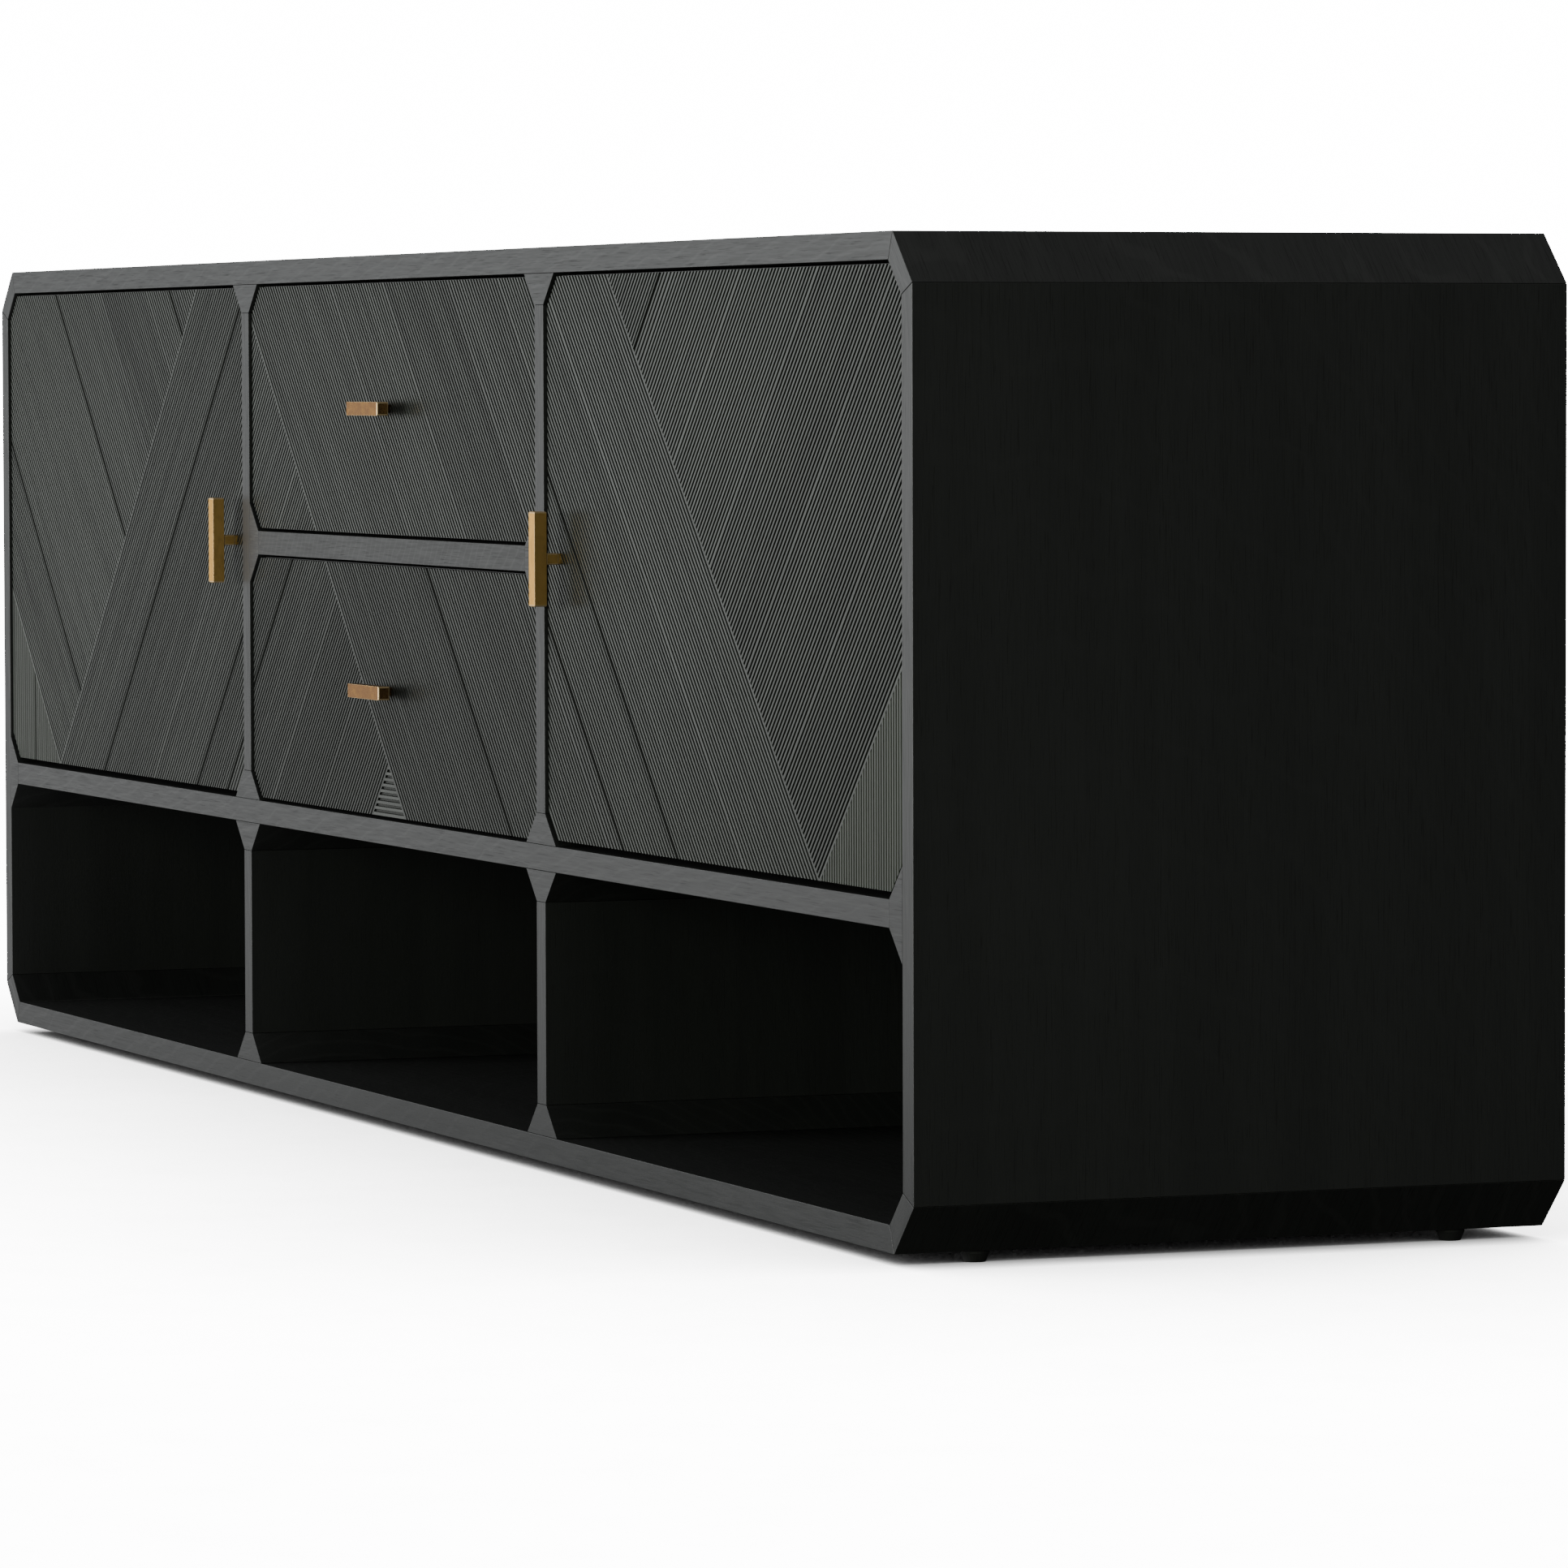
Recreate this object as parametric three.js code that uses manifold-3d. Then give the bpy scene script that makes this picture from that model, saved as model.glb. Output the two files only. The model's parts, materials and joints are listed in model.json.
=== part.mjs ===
// Sideboard buffet: a long, low cabinet with bevelled corners, three equal bays, two doors,
// two drawers and three open compartments below them.
//
// Millimetres, +Z up. The front faces -Y and +X is to the right of somebody facing it.
// The origin is the middle of the bounding box, at floor level.

import * as THREE from 'three';
import { mergeVertices } from 'three/addons/utils/BufferGeometryUtils.js';
import Module from 'manifold-3d';

const wasm = await Module();
wasm.setup();

// ---------------------------------------------------------------- driving dimensions

const caseWidth = 2060;
const caseHeight = 640;
const caseDepth = 452;
const board = 18;               // thickness of every case board
const cornerBevel = 32.5;       // leg of the 45 degree bevel outside
const cubbyHeight = 186.5;      // open compartments below the shelf
const seam = 0.3;               // glue line between neighbouring pieces

const backThickness = 8;
const backSetback = 3;

const glideHeight = 8;
const glideRadius = 9.3;
const glideFootRadius = 6.8;
const glideRim = 1.8;           // straight rim under the case, above the taper
const glideSideInset = 45;
const glideEndInset = 60;

const frontThickness = 22;      // doors and drawer fronts
const frontSetback = 1;         // how far they lie behind the case's front edge
const revealGap = 2;            // gap round a door or drawer front
const doorBottomGap = 4;

const barDepth = 9;             // pulls and knobs: the bar, then the post behind it
const postLength = 10;
const pullLength = 66;
const pullWidth = 12;
const pullPostWidth = 9;
const pullPostHeight = 8;
const pullEdgeDistance = 23;    // from the door's free edge to the middle of the pull
const knobLength = 72;
const knobHeight = 10;
const knobPostWidth = 14;
const knobPostHeight = 7;

const cupRadius = 17.5;
const cupDepth = 11;
const cupWall = 1.2;
const cupEdgeDistance = 22.5;   // from the door's hinged edge to the middle of the cup
const cupFit = 0.3;             // clearance of the cup in its bore
const flangeHeight = 64;
const flangeWidth = 26;
const flangeThickness = 1.6;
const hingeInset = 75;          // from the door's top and bottom edges to each hinge
const hingePlateHeight = 50;
const hingePlateDepth = 22;
const hingePlateThickness = 3;
const hingeArmHeight = 13;
const hingeArmLength = 68;
const hingeArmThickness = 9;
const hingeArmGap = 4;          // between the closed door's back and the arm's end

const boxClearance = 4;         // drawer box to divider
const boxSideThickness = 13;
const boxBackThickness = 12;
const boxBottomThickness = 6;
const boxBackGap = 22;          // drawer box to back panel
const boxCornerPlay = 2;        // drawer box to the corner blocks below it
const boxHeadPlay = 4;          // and to the ones above it
const bottomGrooveDepth = 5;
const bottomGrooveHeight = 10;  // from the box's lower edge to the bottom's underside
const runnerHeight = 16;
const runnerThickness = 10;
const runnerBackGap = 30;
const runnerPlay = 1;           // clearance of the runner in the drawer side's groove
const runnerSetback = 32;       // from the case's front edge to the runner's end

// ---------------------------------------------------------------- derived places

const handleDepth = barDepth + postLength;
const handleProud = handleDepth - frontSetback;
const caseFront = (handleProud - caseDepth) / 2;
const caseBack = caseFront + caseDepth;
const caseBottom = glideHeight;
const caseTop = caseBottom + caseHeight;
const caseMiddle = (caseTop + caseBottom) / 2;

const mitreSlope = Math.SQRT2 - 1;                       // tan 22.5 degrees
const mitreRelief = seam / 2 / Math.cos(Math.PI / 8);    // half a glue line, along a board
const flareLeg = cornerBevel - board * (2 - Math.SQRT2); // leg of the bevel inside the case

const innerX = caseWidth / 2 - board;
const backFront = caseBack - backSetback - backThickness;
const innerDepth = backFront - seam - caseFront;

const bayWidth = (2 * innerX - 2 * board) / 3;
const dividerX = (bayWidth + board) / 2;

const shelfBottom = caseBottom + board + cubbyHeight;
const shelfTop = shelfBottom + board;
const upperTop = caseTop - board;
const railMiddle = (shelfTop + upperTop) / 2;
const railBottom = railMiddle - board / 2;
const railTop = railMiddle + board / 2;

const panelFront = caseFront + frontSetback;
const panelBack = panelFront + frontThickness;

// ---------------------------------------------------------------- finishes

const finish = (color, roughness, metalness) =>
  new THREE.MeshStandardMaterial({ color, roughness, metalness });

const finishes = {
  oak: () => finish(0x3d3c3a, 0.5, 0),
  reeded: () => finish(0x343331, 0.6, 0),
  panel: () => finish(0x262523, 0.6, 0),
  maple: () => finish(0xb49a72, 0.55, 0),
  brass: () => finish(0xb08a4a, 0.3, 1),
  steel: () => finish(0x9a9a98, 0.35, 1),
  glide: () => finish(0x151515, 0.7, 0),
};

// ---------------------------------------------------------------- helpers

const part = new THREE.Group();

function add(name, geometry, material, place = new THREE.Vector3()) {
  const mesh = new THREE.Mesh(geometry, material());
  mesh.name = name;
  mesh.position.copy(place);
  part.add(mesh);
  return mesh;
}

// A prism whose outline of [x, z] points is the same from `front` back to `front + length`.
function prism(outline, front, length) {
  const shape = new THREE.Shape(outline.map(([x, z]) => new THREE.Vector2(x, z)));
  const geometry = new THREE.ExtrudeGeometry(shape, { depth: length, bevelEnabled: false });
  geometry.rotateX(Math.PI / 2);
  geometry.translate(0, front + length, 0);
  return geometry;
}

function block(xMin, xMax, yMin, yMax, zMin, zMax) {
  const geometry = new THREE.BoxGeometry(xMax - xMin, yMax - yMin, zMax - zMin);
  geometry.translate((xMin + xMax) / 2, (yMin + yMax) / 2, (zMin + zMax) / 2);
  return geometry;
}

function rectangle(xMin, xMax, zMin, zMax) {
  return [[xMin, zMin], [xMax, zMin], [xMax, zMax], [xMin, zMax]];
}

// A rectangle with its four corners cut off at 45 degrees by the same leg.
function chamfered(xMin, xMax, zMin, zMax, leg) {
  return [
    [xMin + leg, zMin], [xMax - leg, zMin], [xMax, zMin + leg], [xMax, zMax - leg],
    [xMax - leg, zMax], [xMin + leg, zMax], [xMin, zMax - leg], [xMin, zMin + leg],
  ];
}

// The opening between four faces, whose corners are filled by flares, with a gap all round.
function insetPanel(xMin, xMax, zMin, zMax, gap, bottomGap) {
  const leg = flareLeg - gap * (2 - Math.SQRT2);
  return chamfered(xMin + gap, xMax - gap, zMin + bottomGap, zMax - gap, leg);
}

// The trapezoid block that widens a board's end by one flare leg on each side. It stands on
// the face through [x, z] and points along the unit vector [dx, dz].
function flare([x, z], [dx, dz]) {
  const half = (reach) => board / 2 + flareLeg - reach;
  const corner = (reach, side) =>
    [x + dx * reach - dz * side * half(reach), z + dz * reach + dx * side * half(reach)];
  return [corner(seam, -1), corner(flareLeg, -1), corner(flareLeg, 1), corner(seam, 1)];
}

function toSolid(geometry) {
  const bare = geometry.clone();
  bare.deleteAttribute('normal');
  bare.deleteAttribute('uv');
  const merged = mergeVertices(bare, 1e-4);
  const corners = merged.index.array;
  const kept = [];
  for (let i = 0; i < corners.length; i += 3) {
    const [a, b, c] = [corners[i], corners[i + 1], corners[i + 2]];
    if (a !== b && b !== c && c !== a) kept.push(a, b, c);
  }
  return new wasm.Manifold(new wasm.Mesh({
    numProp: 3,
    vertProperties: merged.attributes.position.array,
    triVerts: new Uint32Array(kept),
  }));
}

function toGeometry(solid) {
  const mesh = solid.getMesh();
  const geometry = new THREE.BufferGeometry();
  geometry.setAttribute('position', new THREE.BufferAttribute(mesh.vertProperties, 3));
  geometry.setIndex(new THREE.BufferAttribute(mesh.triVerts, 1));
  geometry.computeVertexNormals();
  return geometry;
}

const union = (...pieces) => toGeometry(pieces.map(toSolid).reduce((a, b) => a.add(b)));

const sides = [['left', -1], ['right', 1]];

// ---------------------------------------------------------------- case shell

function caseShell() {
  const outerX = caseWidth / 2 - cornerBevel;
  const outerZ = caseHeight / 2 - cornerBevel;
  const miteredX = outerX - mitreRelief;
  const miteredZ = outerZ - mitreRelief;
  const back = board * mitreSlope;

  for (const [level, up] of [['bottom', -1], ['top', 1]]) {
    const face = caseMiddle + up * caseHeight / 2;
    const inside = face - up * board;
    add(`${level}_panel`, prism([
      [-miteredX, face], [miteredX, face], [miteredX - back, inside], [back - miteredX, inside],
    ], caseFront, caseDepth), finishes.oak);
  }

  for (const [side, out] of sides) {
    const face = out * caseWidth / 2;
    const inside = out * innerX;
    add(`side_panel_${side}`, prism([
      [face, caseMiddle - miteredZ], [face, caseMiddle + miteredZ],
      [inside, caseMiddle + miteredZ - back], [inside, caseMiddle - miteredZ + back],
    ], caseFront, caseDepth), finishes.oak);

    for (const [level, up] of [['bottom', -1], ['top', 1]]) {
      const shift = mitreRelief / Math.SQRT2;
      const at = (x, z) => [out * x, caseMiddle + up * z];
      add(`bevel_strip_${level}_${side}`, prism([
        at(outerX + shift, caseHeight / 2 - shift),
        at(caseWidth / 2 - shift, outerZ + shift),
        at(innerX - shift, outerZ - back + shift),
        at(outerX - back + shift, caseHeight / 2 - board - shift),
      ], caseFront, caseDepth), finishes.oak);
    }
  }

  add('back_panel', prism(
    chamfered(-innerX + seam, innerX - seam, caseBottom + board + seam, upperTop - seam,
      flareLeg - seam * (2 - Math.SQRT2)),
    backFront, backThickness), finishes.panel);
}

// ---------------------------------------------------------------- shelf, dividers, rail

function shelfAndDividers() {
  const shelfMiddle = (shelfBottom + shelfTop) / 2;
  const shelfEnd = innerX - flareLeg - seam;
  add('middle_shelf',
    prism(rectangle(-shelfEnd, shelfEnd, shelfBottom, shelfTop), caseFront, innerDepth),
    finishes.oak);

  const storeys = [
    ['upper', shelfTop, 'above_shelf', upperTop, 'top'],
    ['lower', caseBottom + board, 'bottom', shelfBottom, 'below_shelf'],
  ];
  for (const [side, out] of sides) {
    add(`shelf_end_block_${side}`,
      prism(flare([out * innerX, shelfMiddle], [-out, 0]), caseFront, innerDepth),
      finishes.oak);

    const x = out * dividerX;
    for (const [storey, low, lowName, high, highName] of storeys) {
      add(`divider_block_${lowName}_${side}`,
        prism(flare([x, low], [0, 1]), caseFront, innerDepth), finishes.oak);
      add(`divider_${storey}_${side}`, prism(
        rectangle(x - board / 2, x + board / 2, low + flareLeg + seam, high - flareLeg - seam),
        caseFront, innerDepth), finishes.oak);
      add(`divider_block_${highName}_${side}`,
        prism(flare([x, high], [0, -1]), caseFront, innerDepth), finishes.oak);
    }
    add(`rail_end_block_${side}`,
      prism(flare([out * bayWidth / 2, railMiddle], [-out, 0]), caseFront, innerDepth),
      finishes.oak);
  }

  const railEnd = bayWidth / 2 - flareLeg - seam;
  add('drawer_rail',
    prism(rectangle(-railEnd, railEnd, railBottom, railTop), caseFront, innerDepth),
    finishes.oak);
}

// ---------------------------------------------------------------- glides

function glides() {
  const x = caseWidth / 2 - glideSideInset;
  const ends = [['front', caseFront + glideEndInset], ['back', caseBack - glideEndInset]];
  for (const [end, y] of ends) {
    for (const [side, out] of sides) {
      const top = glideHeight - seam;
      const profile = [
        [0, 0], [glideFootRadius, 0], [glideRadius, top - glideRim], [glideRadius, top], [0, top],
      ].map(([r, z]) => new THREE.Vector2(r, z));
      const geometry = new THREE.LatheGeometry(profile, 24);
      geometry.rotateX(Math.PI / 2);
      add(`glide_${end}_${side}`, geometry, finishes.glide, new THREE.Vector3(out * x, y, 0));
    }
  }
}

// ---------------------------------------------------------------- handles

// A bar on a short post, standing on the face of a door or a drawer front.
function handle(x, z, barWidth, barHeight, postWidth, postHeight) {
  const foot = panelFront - seam;
  const barBack = panelFront - postLength;
  const bar = block(x - barWidth / 2, x + barWidth / 2, barBack - barDepth, barBack,
    z - barHeight / 2, z + barHeight / 2);
  const post = block(x - postWidth / 2, x + postWidth / 2, barBack - barDepth / 2, foot,
    z - postHeight / 2, z + postHeight / 2);
  return union(bar, post);
}

// ---------------------------------------------------------------- doors and hinges

// A revolved body on an axis along Y: points are [radius, distance behind `front`].
function turned(profile, x, front, z, segments = 32) {
  const points = profile.map(([r, y]) => new THREE.Vector2(r, y));
  const geometry = new THREE.LatheGeometry(points, segments);
  geometry.translate(x, front, z);
  return geometry;
}

function door(side, out) {
  const edge = out * (innerX - revealGap);
  const free = out * (dividerX + board / 2 + revealGap);
  const bottom = shelfTop + doorBottomGap;
  const top = upperTop - revealGap;
  const [xMin, xMax] = out < 0 ? [-innerX, -dividerX - board / 2] : [dividerX + board / 2, innerX];
  const cupX = edge - out * cupEdgeDistance;
  const cupFront = panelBack - cupDepth;
  const hinges = [['lower', bottom + hingeInset], ['upper', top - hingeInset]];

  let panel = toSolid(prism(
    insetPanel(xMin, xMax, shelfTop, upperTop, revealGap, doorBottomGap), panelFront,
    frontThickness));
  for (const [, z] of hinges) {
    const bore = [
      [0, -cupFit], [cupRadius + cupFit, -cupFit], [cupRadius + cupFit, cupDepth + 1],
      [0, cupDepth + 1],
    ];
    panel = panel.subtract(toSolid(turned(bore, cupX, cupFront, z)));
  }
  add(`${side}_door_front`, toGeometry(panel), finishes.reeded);

  add(`${side}_door_pull`,
    handle(free + out * pullEdgeDistance, (top + bottom) / 2, pullWidth, pullLength,
      pullPostWidth, pullPostHeight), finishes.brass);

  for (const [level, z] of hinges) {
    const cup = [
      [0, 0], [cupRadius, 0], [cupRadius, cupDepth + flangeThickness],
      [cupRadius - cupWall, cupDepth + flangeThickness], [cupRadius - cupWall, cupWall],
      [0, cupWall],
    ];
    const hollow = [
      [0, cupWall], [cupRadius - cupWall, cupWall],
      [cupRadius - cupWall, cupDepth + flangeThickness + 1],
      [0, cupDepth + flangeThickness + 1],
    ];
    const flange = block(cupX - flangeWidth / 2, cupX + flangeWidth / 2, panelBack + seam,
      panelBack + flangeThickness, z - flangeHeight / 2, z + flangeHeight / 2);
    const shell = toSolid(turned(cup, cupX, cupFront, z)).add(toSolid(flange));
    add(`${side}_door_hinge_cup_${level}`,
      toGeometry(shell.subtract(toSolid(turned(hollow, cupX, cupFront, z)))), finishes.steel);

    const face = out * (innerX - seam);
    const span = (thickness) => (out < 0 ? [face, face + thickness] : [face - thickness, face]);
    const armFront = panelBack + hingeArmGap;
    const plateFront = armFront + hingeArmLength - hingePlateDepth;
    const plate = block(...span(hingePlateThickness), plateFront, plateFront + hingePlateDepth,
      z - hingePlateHeight / 2, z + hingePlateHeight / 2);
    const arm = block(...span(hingePlateThickness + hingeArmThickness), armFront,
      armFront + hingeArmLength, z - hingeArmHeight / 2, z + hingeArmHeight / 2);
    add(`hinge_arm_${side}_${level}`, union(plate, arm), finishes.steel);
  }
}

// ---------------------------------------------------------------- drawers and runners

function drawer(level, low, high) {
  add(`${level}_drawer_front`, prism(
    insetPanel(-bayWidth / 2, bayWidth / 2, low, high, revealGap, revealGap), panelFront,
    frontThickness), finishes.reeded);
  add(`${level}_drawer_knob`,
    handle(0, (low + high) / 2, knobLength, knobHeight, knobPostWidth, knobPostHeight),
    finishes.brass);

  const outer = bayWidth / 2 - boxClearance;
  const inner = outer - boxSideThickness;
  const cornerBlock = flareLeg - boxClearance;
  const boxLow = low + cornerBlock + boxCornerPlay;
  const boxHigh = high - cornerBlock - boxHeadPlay;
  const boxFront = panelBack + seam;
  const boxBack = backFront - boxBackGap;
  const runnerMiddle = (boxLow + boxHigh) / 2;
  const grooveHalf = runnerHeight / 2 + runnerPlay;
  const grooveFloor = bayWidth / 2 - runnerThickness - runnerPlay;
  const bottomLow = boxLow + bottomGrooveHeight;
  const bottomHigh = bottomLow + boxBottomThickness;

  for (const [side, out] of sides) {
    const profile = [
      [outer, boxLow], [outer, runnerMiddle - grooveHalf],
      [grooveFloor, runnerMiddle - grooveHalf], [grooveFloor, runnerMiddle + grooveHalf],
      [outer, runnerMiddle + grooveHalf], [outer, boxHigh], [inner, boxHigh],
      [inner, bottomHigh + seam], [inner + bottomGrooveDepth, bottomHigh + seam],
      [inner + bottomGrooveDepth, bottomLow - seam], [inner, bottomLow - seam], [inner, boxLow],
    ].map(([x, z]) => [out * x, z]);
    add(`${level}_drawer_side_${side}`,
      prism(profile, boxFront, boxBack - boxFront), finishes.maple);

    const near = bayWidth / 2 - seam;
    const far = bayWidth / 2 - runnerThickness;
    add(`drawer_runner_${level}_${side}`, block(
      Math.min(out * near, out * far), Math.max(out * near, out * far),
      caseFront + runnerSetback, backFront - runnerBackGap,
      runnerMiddle - runnerHeight / 2, runnerMiddle + runnerHeight / 2), finishes.maple);
  }

  add(`${level}_drawer_back`, block(-inner + seam, inner - seam, boxBack - boxBackThickness,
    boxBack, bottomHigh + seam, boxHigh), finishes.maple);
  const bottomEdge = inner + bottomGrooveDepth - seam;
  add(`${level}_drawer_bottom`, block(-bottomEdge, bottomEdge, boxFront, boxBack, bottomLow,
    bottomHigh), finishes.maple);
}

// ---------------------------------------------------------------- assembly

caseShell();
shelfAndDividers();
glides();
for (const [side, out] of sides) door(side, out);
drawer('lower', shelfTop, railBottom);
drawer('upper', railTop, upperTop);

export default part;
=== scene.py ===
"""Charcoal oak sideboard with reeded fronts: the looks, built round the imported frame."""

import json
import math
import random

import bmesh
import bpy
from bpy.props import FloatProperty
from bpy.props import FloatVectorProperty
from bpy.props import PointerProperty
from mathutils import Matrix
from mathutils import Vector
from mathutils.geometry import convex_hull_2d


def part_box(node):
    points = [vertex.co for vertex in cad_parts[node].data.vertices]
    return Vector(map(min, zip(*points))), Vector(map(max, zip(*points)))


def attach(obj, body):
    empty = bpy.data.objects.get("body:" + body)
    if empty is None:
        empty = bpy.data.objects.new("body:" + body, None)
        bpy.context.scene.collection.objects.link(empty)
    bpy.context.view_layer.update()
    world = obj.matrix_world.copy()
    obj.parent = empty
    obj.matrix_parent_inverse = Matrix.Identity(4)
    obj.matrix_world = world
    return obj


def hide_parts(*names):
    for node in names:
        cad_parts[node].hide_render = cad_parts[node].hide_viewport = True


bl_info = {
    "name": "Reeded Sideboard",
    "version": (1, 0, 0),
    "blender": (4, 5, 0),
    "location": "View3D > Sidebar > Sideboard",
    "description": "Builds the reeded fronts, finishes, fixings and stage of a charcoal oak sideboard",
    "category": "Object",
}

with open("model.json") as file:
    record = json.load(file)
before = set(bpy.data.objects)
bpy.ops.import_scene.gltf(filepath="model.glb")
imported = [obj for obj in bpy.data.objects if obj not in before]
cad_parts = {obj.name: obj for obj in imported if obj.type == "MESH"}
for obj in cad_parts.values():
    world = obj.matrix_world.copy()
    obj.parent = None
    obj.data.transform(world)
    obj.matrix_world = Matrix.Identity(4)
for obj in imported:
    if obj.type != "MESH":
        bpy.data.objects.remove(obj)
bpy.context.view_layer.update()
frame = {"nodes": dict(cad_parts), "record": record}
NODES = frame["nodes"]

MM = 0.001
ROOT_HALF = math.sqrt(0.5)
SIDES = {"left": -1, "right": 1}
LEVELS = ("lower", "upper")

# How two boards of reeds meet: at a field's own edge, at a tight joint, or at an open one.
EDGE = "edge"
JOINT = "joint"
GAP = "gap"


# ---------------------------------------------------------------- sizes and colours


def length(name, description, default, least):
    """A length that the user can change."""
    return FloatProperty(name=name, description=description, default=default, min=least, unit="LENGTH")


def power(name, description, default):
    """The power of a light, which the user can change."""
    return FloatProperty(name=name, description=description, default=default, unit="POWER")


def colour(name, description, default):
    """A colour that the user can change."""
    return FloatVectorProperty(
        name=name,
        description=description,
        default=default,
        min=0.0,
        max=1.0,
        size=3,
        subtype="COLOR",
    )


class ReedSizes(bpy.types.PropertyGroup):
    """Sizes of the reeding that is cut into the fronts."""

    pitch: length("Pitch", "Distance from one groove to the next", 4.2 * MM, 2 * MM)
    groove: length("Groove width", "Width of a groove between its walls", 1.7 * MM, 0.3 * MM)
    depth: length("Groove depth", "Depth of a groove below the reeds", 1.5 * MM, 0.2 * MM)
    shoulder: length("Shoulder", "Width of the soft edge on each side of a reed", 0.3 * MM, 0.05 * MM)
    crown: length("Crown", "How far the middle of a reed stands above its shoulders", 0.03 * MM, 0.0)
    facing: length("Facing", "Thickness of the reeded boards on the front's core", 5 * MM, 3 * MM)
    setback: length("Setback", "How far the reeds lie behind the front's envelope", 0.9 * MM, 0.0)
    inset: length("Inset", "How far the reeded boards stop short of the front's edges", 0.6 * MM, 0.0)
    seam: length("Seam", "Gap between one field of reeds and the next", 0.12 * MM, 0.0)
    door_apex: length(
        "Door apex",
        "Where the three fields of a door meet, from its hinged edge",
        142.5 * MM,
        40 * MM,
    )
    drawer_apex: length(
        "Drawer apex",
        "Where the three fields of the drawers meet, above the lower front's bottom edge",
        38 * MM,
        10 * MM,
    )


class EdgeSizes(bpy.types.PropertyGroup):
    """How far the edges of each kind of piece are eased."""

    board: length("Board arris", "Eased edge of the case boards", 0.4 * MM, 0.1 * MM)
    joined: length(
        "Joined arris",
        "Eased edge of the boards and blocks that are glued flush with another",
        0.15 * MM,
        0.05 * MM,
    )
    metal: length("Handle arris", "Polished edge of the pulls and knobs", 1.0 * MM, 0.1 * MM)
    fitting: length("Fitting arris", "Edge of the hinges and runners", 0.35 * MM, 0.05 * MM)


class FinishColours(bpy.types.PropertyGroup):
    """Colours of the finishes."""

    oak: colour("Oak", "Stained oak between the grain lines", (0.031, 0.0328, 0.0323))
    oak_grain: colour("Oak grain", "Stained oak in the grain lines", (0.019, 0.0202, 0.0199))
    # Pale oak for the ring lines and clouds, and for the eased edges, where it is partly worn wood and
    # partly a painted highlight.
    oak_edge: colour("Oak edge", "Oak where its edges are rubbed", (0.055, 0.056, 0.056))
    reed: colour("Reeds", "Face of the reeds", (0.042, 0.048, 0.04))
    reed_grain: colour("Reed grain", "Grain lines of the reeds", (0.0195, 0.0218, 0.019))
    brass: colour("Pull brass", "Aged brass of the pulls", (0.8, 0.49, 0.16))
    brass_edge: colour("Brass edge", "Brass where its edges are worn bright", (0.95, 0.74, 0.45))
    brass_dark: colour("Brass patina", "Darkened brass", (0.48, 0.27, 0.09))
    knob: colour("Knob brass", "Coppery brass of the knobs", (0.21, 0.112, 0.06))
    maple: colour("Maple", "Drawer box timber", (0.52, 0.36, 0.21))
    maple_grain: colour("Maple grain", "Grain of the drawer boxes", (0.36, 0.22, 0.115))
    steel: colour("Steel", "Plated steel of the hinges and runners", (0.52, 0.52, 0.51))
    back: colour("Back board", "Painted back board", (0.0095, 0.0095, 0.01))
    glide: colour("Glides", "Moulded glides", (0.012, 0.012, 0.012))
    floor: colour("Floor", "Studio floor", (0.86, 0.86, 0.86))


class StageSettings(bpy.types.PropertyGroup):
    """Powers of the studio lights."""

    key: power("Key light", "Power of the front softbox", 240)
    left: power("Left wall", "Power of the wide panel on the left", 47)
    side: power("Side panel", "Power of the panel beside the camera", 31)
    strip: power("Edge strip", "Power of the strip that draws the metal edges", 22)
    top: power("Top light", "Power of the overhead softbox", 200)
    rear: power("Rear light", "Power of the light behind", 60)


def sizes():
    return bpy.context.scene.sideboard_reeds


def edges():
    return bpy.context.scene.sideboard_edges


def colours():
    return bpy.context.scene.sideboard_colours


# ---------------------------------------------------------------- material making


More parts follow.
